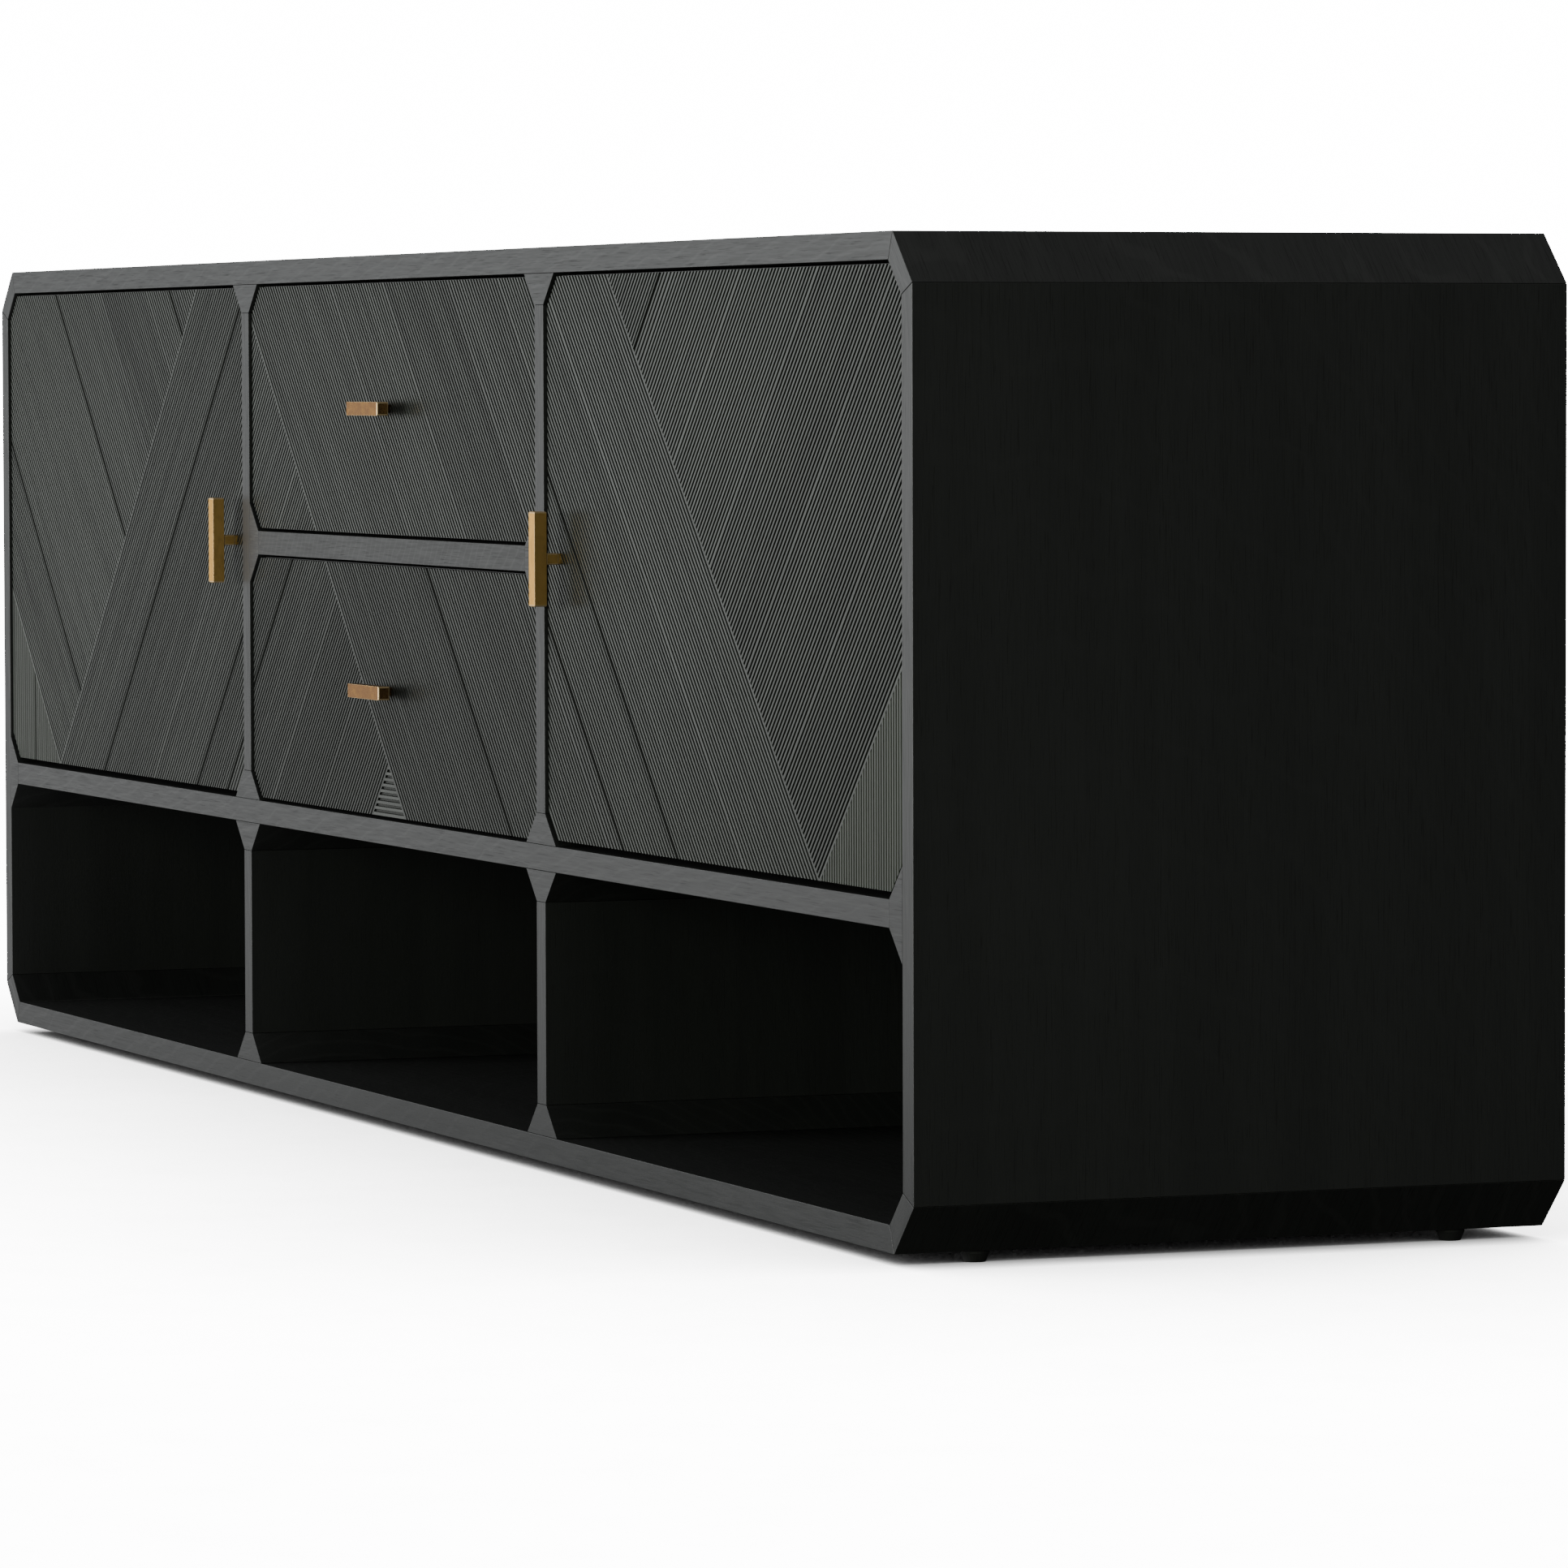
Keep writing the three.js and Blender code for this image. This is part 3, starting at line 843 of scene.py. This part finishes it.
class SIDEBOARD_OT_case(bpy.types.Operator):
    """Finishes the case boards, with their eased edges in a lighter oak that is partly worn wood and partly
    a painted highlight, and closes their mitres.
    """

    bl_idname = "sideboard.make_case"
    bl_label = "Case boards"

    def execute(self, context):
        for node in frame["record"]["behaviour"]["bodies"]["case"]:
            if node == "back_panel" or node.startswith(("glide", "hinge", "drawer_runner")):
                continue
            board = NODES[node]
            grain = board_grain(node)
            figured = node == "drawer_rail"
            # The second finish, on the eased edges, is a lighter oak: partly worn wood, partly a painted
            # highlight.
            dress(board, oak(grain, figured=figured), oak(grain, rubbed=True))
            flush = node.startswith(("divider", "shelf_end", "rail_end", "drawer_rail"))
            soften(board, edges().joined if flush else edges().board, 2, 1)
        self.mitres()
        return {"FINISHED"}

    def mitres(self):
        """A spline in each of the eight mitres between the outer boards and the corner strips."""
        side_low, side_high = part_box("side_panel_right")
        half = (side_high.x - side_low.x) / 2
        lean = half * math.tan(MITRE_ANGLE)
        cos = math.cos(MITRE_ANGLE)
        sin = math.sin(MITRE_ANGLE)
        front = side_low.y + SPLINE_STOP
        back = side_high.y - SPLINE_STOP
        for end, panel, turn in (("bottom", "bottom_panel", 1), ("top", "top_panel", -1)):
            low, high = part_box(panel)
            side_edge = side_low.z if turn > 0 else side_high.z
            panel_edge = low.z if turn > 0 else high.z
            for name, side in SIDES.items():
                mitre_spline(
                    f"mitre_spline_side_{end}_{name}",
                    side * (side_high.x - half),
                    side_edge + turn * lean,
                    side * sin,
                    turn * cos,
                    front,
                    back,
                )
                mitre_spline(
                    f"mitre_spline_{end}_{name}",
                    side * (high.x - lean),
                    panel_edge + turn * half,
                    side * cos,
                    turn * sin,
                    front,
                    back,
                )


# ---------------------------------------------------------------- screws


# A screw's head from rim to crown, as shares of its radius and of its rise.
HEAD_RINGS = ((1.0, 0.0), (1.0, 0.28), (0.9, 0.62), (0.68, 0.9), (0.5, 1.0))
HEAD_TURNS = 20
HEAD_RISE = 0.55
# The cross recess: its arm and half its width by the radius, then its floor's size and height.
CROSS_ARM = 0.38
CROSS_HALF = 0.1
CROSS_FLOOR = 0.7
CROSS_SUNK = 0.35


def screw(name, point, direction, radius, body, rise=None):
    """A screw head with a cross recess: point is on the surface, and direction points out of it."""
    mesh = bpy.data.meshes.new(name)
    bm = bmesh.new()
    if rise is None:
        rise = radius * HEAD_RISE
    turns = HEAD_TURNS
    loops = []
    for wide, up in HEAD_RINGS:
        loop = []
        for step in range(turns):
            angle = 2 * math.pi * step / turns
            x = radius * wide * math.cos(angle)
            y = radius * wide * math.sin(angle)
            loop.append(bm.verts.new((x, y, rise * up)))
        loops.append(loop)
    for lower, upper in zip(loops[:-1], loops[1:]):
        for step in range(turns):
            after = (step + 1) % turns
            bm.faces.new((lower[step], lower[after], upper[after], upper[step]))
    bm.faces.new(loops[0][::-1])
    arm = radius * CROSS_ARM
    slim = radius * CROSS_HALF
    plan = (
        (arm, -slim), (arm, slim), (slim, slim), (slim, arm), (-slim, arm), (-slim, slim),
        (-arm, slim), (-arm, -slim), (-slim, -slim), (-slim, -arm), (slim, -arm), (slim, -slim),
    )
    cross = [bm.verts.new((x, y, rise)) for x, y in plan]
    floor = [bm.verts.new((x * CROSS_FLOOR, y * CROSS_FLOOR, rise * CROSS_SUNK)) for x, y in plan]
    rim_edges = []
    for step in range(turns):
        rim_edges.append(bm.edges.get((loops[-1][step], loops[-1][(step + 1) % turns])))
    sides = len(plan)
    cross_edges = [bm.edges.new((cross[i], cross[(i + 1) % sides])) for i in range(sides)]
    bmesh.ops.triangle_fill(bm, edges=rim_edges + cross_edges, use_beauty=True)
    for face in list(bm.faces):
        if all(vertex in cross for vertex in face.verts):
            bm.faces.remove(face)
    for i in range(sides):
        j = (i + 1) % sides
        bm.faces.new((cross[i], floor[i], floor[j], cross[j]))
    bm.faces.new(floor)
    bmesh.ops.recalc_face_normals(bm, faces=bm.faces)
    turn = Vector(direction).to_track_quat("Z", "Y").to_matrix().to_4x4()
    bmesh.ops.transform(bm, matrix=Matrix.Translation(point) @ turn, verts=bm.verts)
    bm.to_mesh(mesh)
    bm.free()
    mesh.shade_smooth()
    mesh.set_sharp_from_angle(angle=SCREW_ANGLE)
    made = add_object(name, mesh)
    dress(made, steel())
    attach(made, body)


class SIDEBOARD_OT_back(bpy.types.Operator):
    """Finishes the back board and puts in its screws."""

    bl_idname = "sideboard.make_back"
    bl_label = "Back board"
    screw_radius = 3.4 * MM
    screw_margin = 11 * MM
    corner_margin = 45 * MM
    screws_across = 10
    screws_upright = 3

    def execute(self, context):
        panel = NODES["back_panel"]
        dress(panel, back_board())
        soften(panel, 0.5 * MM)
        low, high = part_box("back_panel")
        margin = self.screw_margin
        places = []
        for number in range(self.screws_across):
            x = low.x + margin + (high.x - low.x - 2 * margin) * number / (self.screws_across - 1)
            if abs(x) > high.x - self.corner_margin:
                x = math.copysign(high.x - self.corner_margin, x)
            for label, z in (("lower", low.z + margin), ("upper", high.z - margin)):
                places.append((f"back_screw_{label}_{number}", x, z))
        for name, side in SIDES.items():
            for number in range(1, self.screws_upright + 1):
                z = low.z + (high.z - low.z) * number / (self.screws_upright + 1)
                places.append((f"back_screw_{name}_{number}", side * (high.x - margin), z))
        for name, x, z in places:
            screw(name, (x, high.y, z), (0, 1, 0), self.screw_radius, "case")
        return {"FINISHED"}


# ---------------------------------------------------------------- doors


# Joints between the boards of a front's fields, measured in metres along its bottom edge from the apex.
INNER_SEAMS = {
    "right": ((-0.393, JOINT), (-0.364, GAP), (-0.259, GAP), (-0.133, JOINT)),
    "left": ((-0.469, GAP), (-0.388, GAP), (-0.270, JOINT), (-0.130, GAP)),
}
OUTER_SEAMS = {
    "right": (
        (-0.682, GAP),
        (-0.658, JOINT),
        (-0.531, JOINT),
        (-0.394, JOINT),
        (-0.260, JOINT),
        (-0.127, JOINT),
    ),
    "left": ((-0.713, GAP), (-0.650, JOINT), (-0.520, JOINT), (-0.389, GAP), (-0.127, GAP)),
}
CORNER_SEAMS = {"right": (), "left": ((0.0745, GAP),)}

# How much lighter a field is than the others, or how much darker where the number is below zero.
FIELD_TONES = {
    "left": {"inner": -2.0, "outer": 0.3},
    "right": {"corner": 0.9},
    "upper": {},
    "lower": {"falling": -2.2, "rising": -2.4},
}

# The directions across the slanted reeds, and the grain that a field has when it is mirrored.
ACROSS_FALLING = (ROOT_HALF, ROOT_HALF)
ACROSS_RISING = (ROOT_HALF, -ROOT_HALF)
MIRRORED_GRAIN = {"falling": "rising", "rising": "falling", "upright": "upright"}

# Every field draws its own tones: the doors' seeds come first, then the drawers'.
SEED_STEP = 10
DRAWER_SEED = 40


def slanted(seams):
    """Distances along the bottom edge, turned into distances across the slanted reeds."""
    return [(place * ROOT_HALF, kind) for place, kind in seams]


class SIDEBOARD_OT_doors(bpy.types.Operator):
    """Makes both reeded doors: a core and three fields of reeds that meet at an apex."""

    bl_idname = "sideboard.make_doors"
    bl_label = "Doors"

    def execute(self, context):
        r = sizes()
        for number, (side_name, side) in enumerate(SIDES.items()):
            body = f"{side_name}_door"
            node = f"{side_name}_door_front"
            low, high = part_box(node)
            front = low.y + r.setback
            back = low.y + r.facing
            core = core_of(f"{body}_core", node, r.facing)
            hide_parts(node)
            hinged = max(abs(low.x), abs(high.x))
            apex_x = hinged - r.door_apex
            whole = mirrored(front_outline(node), side)
            local = [(x - apex_x, z - low.z) for x, z in whole]
            gap = r.seam / 2
            inner = clip(local, ROOT_HALF, ROOT_HALF, -gap)
            outer = clip(clip(local, -ROOT_HALF, -ROOT_HALF, -gap), ROOT_HALF, -ROOT_HALF, -gap)
            corner = clip(local, -ROOT_HALF, ROOT_HALF, -gap)
            fields = (
                ("inner", inner, ACROSS_FALLING, slanted(INNER_SEAMS[side_name]), "falling"),
                ("outer", outer, ACROSS_RISING, slanted(OUTER_SEAMS[side_name]), "rising"),
                ("corner", corner, (1.0, 0.0), CORNER_SEAMS[side_name], "upright"),
            )
            pieces = [core]
            for index, (label, outline, normal, seams, grain) in enumerate(fields):
                if side < 0:
                    grain = MIRRORED_GRAIN[grain]
                made = reeded_field(
                    f"{body}_reeds_{label}",
                    front,
                    back,
                    outline,
                    normal,
                    seams,
                    grain,
                    SEED_STEP * number + index,
                    FIELD_TONES[side_name].get(label, 0.0),
                )
                self.set_in_place(made, side, apex_x, low.z)
                pieces.append(made)
            for piece in pieces:
                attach(piece, body)
        return {"FINISHED"}

    def set_in_place(self, obj, side, apex_x, bottom):
        """Moves a field from its apex to the door, and mirrors it for the left door."""
        mesh = obj.data
        for vertex in mesh.vertices:
            vertex.co.x = side * (vertex.co.x + apex_x)
            vertex.co.z += bottom
        if side < 0:
            mesh.flip_normals()


# ---------------------------------------------------------------- drawers


DRAWER_RISING_SEAMS = {
    "upper": ((-0.439, JOINT),),
    "lower": ((-0.377, GAP), (-0.244, JOINT), (-0.127, JOINT)),
}
DRAWER_FALLING_SEAMS = {
    "upper": ((0.223, JOINT), (0.348, JOINT), (0.495, JOINT), (0.605, JOINT)),
    "lower": ((0.237, GAP),),
}


class SIDEBOARD_OT_drawer_fronts(bpy.types.Operator):
    """Makes both reeded drawer fronts, with one pattern of reeds across the two."""

    bl_idname = "sideboard.make_drawer_fronts"
    bl_label = "Drawer fronts"

    def execute(self, context):
        r = sizes()
        apex_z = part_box("lower_drawer_front")[0].z + r.drawer_apex
        gap = r.seam / 2
        for number, level in enumerate(LEVELS):
            body = f"{level}_drawer"
            node = f"{level}_drawer_front"
            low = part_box(node)[0]
            core = core_of(f"{body}_core", node, r.facing)
            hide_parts(node)
            local = [(x, z - apex_z) for x, z in front_outline(node)]
            falling = clip(local, -ROOT_HALF, -ROOT_HALF, -gap)
            left = clip(local, ROOT_HALF, ROOT_HALF, -gap)
            rising = clip(left, ROOT_HALF, -ROOT_HALF, -gap)
            level_part = clip(left, -ROOT_HALF, ROOT_HALF, -gap)
            fields = [
                ("falling", falling, ACROSS_FALLING, slanted(DRAWER_FALLING_SEAMS[level]), "falling"),
                ("rising", rising, ACROSS_RISING, slanted(DRAWER_RISING_SEAMS[level]), "rising"),
            ]
            if len(level_part) > 2:
                fields.append(("level", level_part, (0.0, 1.0), (), "along"))
            pieces = [core]
            for index, (label, outline, normal, seams, grain) in enumerate(fields):
                made = reeded_field(
                    f"{body}_reeds_{label}",
                    low.y + r.setback,
                    low.y + r.facing,
                    outline,
                    normal,
                    seams,
                    grain,
                    DRAWER_SEED + SEED_STEP * number + index,
                    FIELD_TONES[level].get(label, 0.0),
                )
                for vertex in made.data.vertices:
                    vertex.co.z += apex_z
                pieces.append(made)
            for piece in pieces:
                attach(piece, body)
        return {"FINISHED"}


class SIDEBOARD_OT_drawer_boxes(bpy.types.Operator):
    """Finishes the drawer boxes and their runners, and puts in the runners' screws."""

    bl_idname = "sideboard.make_drawer_boxes"
    bl_label = "Drawer boxes"
    arris = 0.6 * MM
    screw_radius = 3 * MM
    screw_rise = 0.3 * MM
    screw_shares = (0.1, 0.5, 0.9)
    box_grain = {"side_left": "deep", "side_right": "deep", "back": "along", "bottom": "along"}

    def execute(self, context):
        for level in LEVELS:
            body = f"{level}_drawer"
            for part, grain in self.box_grain.items():
                board = NODES[f"{body}_{part}"]
                dress(board, maple(grain))
                soften(board, self.arris)
            for name, side in SIDES.items():
                node = f"drawer_runner_{level}_{name}"
                dress(NODES[node], maple("deep"))
                soften(NODES[node], self.arris)
                self.runner_screws(node, side)
        return {"FINISHED"}

    def runner_screws(self, node, side):
        """The screws along a runner, let into its face."""
        low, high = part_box(node)
        x = side * min(abs(low.x), abs(high.x))
        z = (low.z + high.z) / 2
        for number, share in enumerate(self.screw_shares):
            point = (x, low.y + share * (high.y - low.y), z)
            name = f"{node}_screw_{number}"
            screw(name, point, (-side, 0, 0), self.screw_radius, "case", self.screw_rise)


# ---------------------------------------------------------------- metalwork


class SIDEBOARD_OT_handles(bpy.types.Operator):
    """Finishes the pulls and knobs in aged brass, and puts in their screws and collars."""

    bl_idname = "sideboard.make_handles"
    bl_label = "Pulls and knobs"
    screw_radius = 4 * MM
    collar_arris = 0.2 * MM
    collar_step = 0.4 * MM
    collar_depth = 2.5 * MM
    post_end = 0.1 * MM

    def execute(self, context):
        for side_name in SIDES:
            self.handle(f"{side_name}_door", "pull")
        for level in LEVELS:
            self.handle(f"{level}_drawer", "knob")
        return {"FINISHED"}

    def handle(self, body, kind):
        """One pull or knob: its finish, the screw behind it, and the collar where it meets the reeds."""
        panel = f"{body}_front"
        handle = f"{body}_{kind}"
        dress(NODES[handle], brass(kind), brass("edge"))
        soften(NODES[handle], edges().metal, 3, 1)
        low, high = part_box(handle)
        point = ((low.x + high.x) / 2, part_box(panel)[1].y, (low.z + high.z) / 2)
        screw(f"{handle}_screw", point, (0, 1, 0), self.screw_radius, body)
        end = [v.co for v in NODES[handle].data.vertices if v.co.y > high.y - self.post_end]
        left = min(co.x for co in end) + self.collar_step
        right = max(co.x for co in end) - self.collar_step
        bottom = min(co.z for co in end) + self.collar_step
        top = max(co.z for co in end) - self.collar_step
        section = [(left, bottom), (right, bottom), (right, top), (left, top)]
        collar = bar(f"{handle}_collar", section, high.y - MM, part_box(panel)[0].y + self.collar_depth)
        dress(collar, brass(kind))
        soften(collar, self.collar_arris)
        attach(collar, body)


class SIDEBOARD_OT_hinges(bpy.types.Operator):
    """Finishes the concealed hinges and puts in their screws."""

    bl_idname = "sideboard.make_hinges"
    bl_label = "Hinges"
    plate_thickness = 3 * MM
    plate_depth = 22 * MM
    screw_radius = 3.2 * MM
    adjuster_radius = 2.8 * MM
    adjuster_rise = 0.6 * MM
    adjuster_shares = {"front": 0.3, "back": 0.75}
    # How far the screws sit from the middle, as shares of the plate's and the flange's height.
    plate_spread = 0.34
    flange_spread = 0.39

    def execute(self, context):
        for side_name, side in SIDES.items():
            for level in LEVELS:
                arm = f"hinge_arm_{side_name}_{level}"
                cup = f"{side_name}_door_hinge_cup_{level}"
                for node in (arm, cup):
                    dress(NODES[node], steel())
                    soften(NODES[node], edges().fitting)
                self.arm_screws(arm, side)
                self.cup_screws(cup, f"{side_name}_door")
        return {"FINISHED"}

    def arm_screws(self, arm, side):
        """Two screws through the arm's plate into the side panel, and two for adjusting the arm."""
        low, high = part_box(arm)
        middle = (low.z + high.z) / 2
        plate = side * (max(abs(low.x), abs(high.x)) - self.plate_thickness)
        crown = side * min(abs(low.x), abs(high.x))
        spread = (high.z - low.z) * self.plate_spread
        for label, z in (("lower", middle - spread), ("upper", middle + spread)):
            point = (plate, high.y - self.plate_depth / 2, z)
            screw(f"{arm}_screw_{label}", point, (-side, 0, 0), self.screw_radius, "case")
        for label, share in self.adjuster_shares.items():
            point = (crown, low.y + share * (high.y - low.y), middle)
            name = f"{arm}_adjuster_{label}"
            radius = self.adjuster_radius
            screw(name, point, (-side, 0, 0), radius, "case", self.adjuster_rise)

    def cup_screws(self, cup, body):
        """Two screws through the cup's flange into the door."""
        low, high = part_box(cup)
        spread = (high.z - low.z) * self.flange_spread
        for label, turn in (("lower", -1), ("upper", 1)):
            point = ((low.x + high.x) / 2, high.y, (low.z + high.z) / 2 + turn * spread)
            screw(f"{cup}_screw_{label}", point, (0, 1, 0), self.screw_radius, body)


class SIDEBOARD_OT_glides(bpy.types.Operator):
    """Finishes the four glides."""

    bl_idname = "sideboard.make_glides"
    bl_label = "Glides"

    def execute(self, context):
        for end in ("front", "back"):
            for side_name in SIDES:
                glide = NODES[f"glide_{end}_{side_name}"]
                dress(glide, moulded_black())
                soften(glide, 0.5 * MM)
        return {"FINISHED"}


# ---------------------------------------------------------------- stage


# Each light: its name, its power among the settings, where it stands and what it faces, its width
# and height, and its tint.
WHITE = (1.0, 1.0, 1.0)
LIGHTS = (
    ("key_softbox", "key", (-1.9, -5.4, 0.5), (0.0, -0.2, 0.32), 2.8, 1.3, WHITE),
    ("left_panel", "left", (-6.5, -4.5, 1.6), (0.0, -4.5, 1.6), 4.9, 3.2, (0.95, 0.995, 1.0)),
    ("side_panel", "side", (4.6, -2.7, 0.7), (0.2, -0.2, 0.45), 1.6, 1.2, (0.9, 1.0, 0.78)),
    ("edge_strip", "strip", (2.1, -5.2, 0.6), (0.1, -0.2, 0.4), 0.5, 1.4, WHITE),
    ("top_softbox", "top", (-5.2, 2.2, 4.4), (0.0, 0.0, 0.5), 3.0, 2.4, WHITE),
    ("rear_softbox", "rear", (-2.2, 4.6, 2.2), (0.0, 0.2, 0.3), 2.4, 1.6, WHITE),
)

# The camera's lens in millimetres, where it stands, and how it is turned.
CAMERA_LENS = 186.11
CAMERA_PLACE = (5.6823, -2.1156, 0.5561)
CAMERA_DEGREES = (87.136, 0.144, 68.705)


def softbox(name, power, place, target, width, height, tint):
    """A rectangular light that shines on the target and isn't seen itself."""
    light = bpy.data.lights.new(name, "AREA")
    light.shape = "RECTANGLE"
    light.size = width
    light.size_y = height
    light.energy = power
    light.color = tint
    made = bpy.data.objects.new(name, light)
    made.location = place
    bpy.context.scene.collection.objects.link(made)
    made.rotation_mode = "QUATERNION"
    made.rotation_quaternion = (Vector(target) - made.location).to_track_quat("-Z", "Y")
    made.visible_camera = False


class SIDEBOARD_OT_stage(bpy.types.Operator):
    """Sets the floor, the studio light, the surround and the camera."""

    bl_idname = "sideboard.set_stage"
    bl_label = "Stage"

    def execute(self, context):
        stage = context.scene.sideboard_stage
        self.floor()
        self.surround()
        for name, setting, place, target, width, height, tint in LIGHTS:
            softbox(name, getattr(stage, setting), place, target, width, height, tint)
        self.camera()
        return {"FINISHED"}

    def floor(self):
        """A pale floor. Beyond the contact shadow it fades into the surround."""
        mesh = bpy.data.meshes.new("studio_floor")
        half = 60.0
        corners = [(-half, -half, 0), (half, -half, 0), (half, half, 0), (-half, half, 0)]
        mesh.from_pydata(corners, [], [(0, 1, 2, 3)])
        floor = add_object("studio_floor", mesh)
        s = Shader("studio_floor")
        near = s.node("ShaderNodeAmbientOcclusion", samples=16)
        near.inputs["Distance"].default_value = 0.7
        open_sky = s.maths("POWER", near.outputs["AO"], 1.9)
        dust = s.noise(s.place((0, 0, 0), (14, 14, 14)), 5.0, 0.6)
        light = s.times(open_sky, s.spread(dust, 0.4, 0.8, 14.0, 13.2))
        seen = s.node("ShaderNodeEmission")
        s.link(light, seen.inputs["Strength"])
        where = s.node("ShaderNodeSeparateXYZ")
        s.link(s.place(), where.inputs["Vector"])
        dull = s.node("ShaderNodeEmission")
        s.link(s.spread(where.outputs["X"], -2.2, 1.0, 0.6, 0.02), dull.inputs["Strength"])
        rays = s.node("ShaderNodeLightPath")
        both = s.node("ShaderNodeMixShader")
        s.link(rays.outputs["Is Camera Ray"], both.inputs["Fac"])
        s.link(dull.outputs["Emission"], both.inputs[1])
        s.link(seen.outputs["Emission"], both.inputs[2])
        s.link(both.outputs["Shader"], s.output.inputs["Surface"])
        dress(floor, s.material)

    def surround(self):
        """A white surround to look at, which gives only a dim light."""
        world = bpy.data.worlds.new("surround")
        bpy.context.scene.world = world
        world.use_nodes = True
        tree = world.node_tree
        tree.nodes.clear()
        rays = tree.nodes.new("ShaderNodeLightPath")
        bright = tree.nodes.new("ShaderNodeBackground")
        dim = tree.nodes.new("ShaderNodeBackground")
        for background, strength in ((bright, 16.0), (dim, 0.2)):
            background.inputs["Strength"].default_value = strength
            background.inputs["Color"].default_value = (1, 1, 1, 1)
        both = tree.nodes.new("ShaderNodeMixShader")
        output = tree.nodes.new("ShaderNodeOutputWorld")
        tree.links.new(rays.outputs["Is Camera Ray"], both.inputs["Fac"])
        tree.links.new(dim.outputs["Background"], both.inputs[1])
        tree.links.new(bright.outputs["Background"], both.inputs[2])
        tree.links.new(both.outputs["Shader"], output.inputs["Surface"])

    def camera(self):
        """A long lens, almost level, from the front right."""
        data = bpy.data.cameras.new("camera")
        data.lens = CAMERA_LENS
        data.sensor_width = 36.0
        data.clip_start = 0.1
        data.clip_end = 200.0
        camera = bpy.data.objects.new("camera", data)
        camera.location = CAMERA_PLACE
        camera.rotation_euler = [math.radians(angle) for angle in CAMERA_DEGREES]
        bpy.context.scene.collection.objects.link(camera)
        bpy.context.scene.camera = camera


# ---------------------------------------------------------------- panel and running


OPERATORS = (
    SIDEBOARD_OT_case,
    SIDEBOARD_OT_back,
    SIDEBOARD_OT_doors,
    SIDEBOARD_OT_drawer_fronts,
    SIDEBOARD_OT_drawer_boxes,
    SIDEBOARD_OT_handles,
    SIDEBOARD_OT_hinges,
    SIDEBOARD_OT_glides,
    SIDEBOARD_OT_stage,
)


class SIDEBOARD_PT_panel(bpy.types.Panel):
    """Lists the sideboard's sizes, colours and steps."""

    bl_idname = "SIDEBOARD_PT_panel"
    bl_label = "Reeded Sideboard"
    bl_space_type = "VIEW_3D"
    bl_region_type = "UI"
    bl_category = "Sideboard"

    def draw(self, context):
        layout = self.layout
        scene = context.scene
        for heading, group in (
            ("Reeds", scene.sideboard_reeds),
            ("Edges", scene.sideboard_edges),
            ("Colours", scene.sideboard_colours),
            ("Stage", scene.sideboard_stage),
        ):
            box = layout.box()
            box.label(text=heading)
            for name in group.__annotations__:
                box.prop(group, name)
        for operator in OPERATORS:
            layout.operator(operator.bl_idname)


GROUPS = {
    "sideboard_reeds": ReedSizes,
    "sideboard_edges": EdgeSizes,
    "sideboard_colours": FinishColours,
    "sideboard_stage": StageSettings,
}


def register():
    for name, group in GROUPS.items():
        bpy.utils.register_class(group)
        setattr(bpy.types.Scene, name, PointerProperty(type=group))
    for operator in OPERATORS:
        bpy.utils.register_class(operator)
    bpy.utils.register_class(SIDEBOARD_PT_panel)


def unregister():
    bpy.utils.unregister_class(SIDEBOARD_PT_panel)
    for operator in reversed(OPERATORS):
        bpy.utils.unregister_class(operator)
    for name, group in reversed(GROUPS.items()):
        delattr(bpy.types.Scene, name)
        bpy.utils.unregister_class(group)


def main():
    register()
    bpy.ops.sideboard.make_case()
    bpy.ops.sideboard.make_back()
    bpy.ops.sideboard.make_doors()
    bpy.ops.sideboard.make_drawer_fronts()
    bpy.ops.sideboard.make_drawer_boxes()
    bpy.ops.sideboard.make_handles()
    bpy.ops.sideboard.make_hinges()
    bpy.ops.sideboard.make_glides()
    bpy.ops.sideboard.set_stage()


if __name__ == "__main__":
    main()
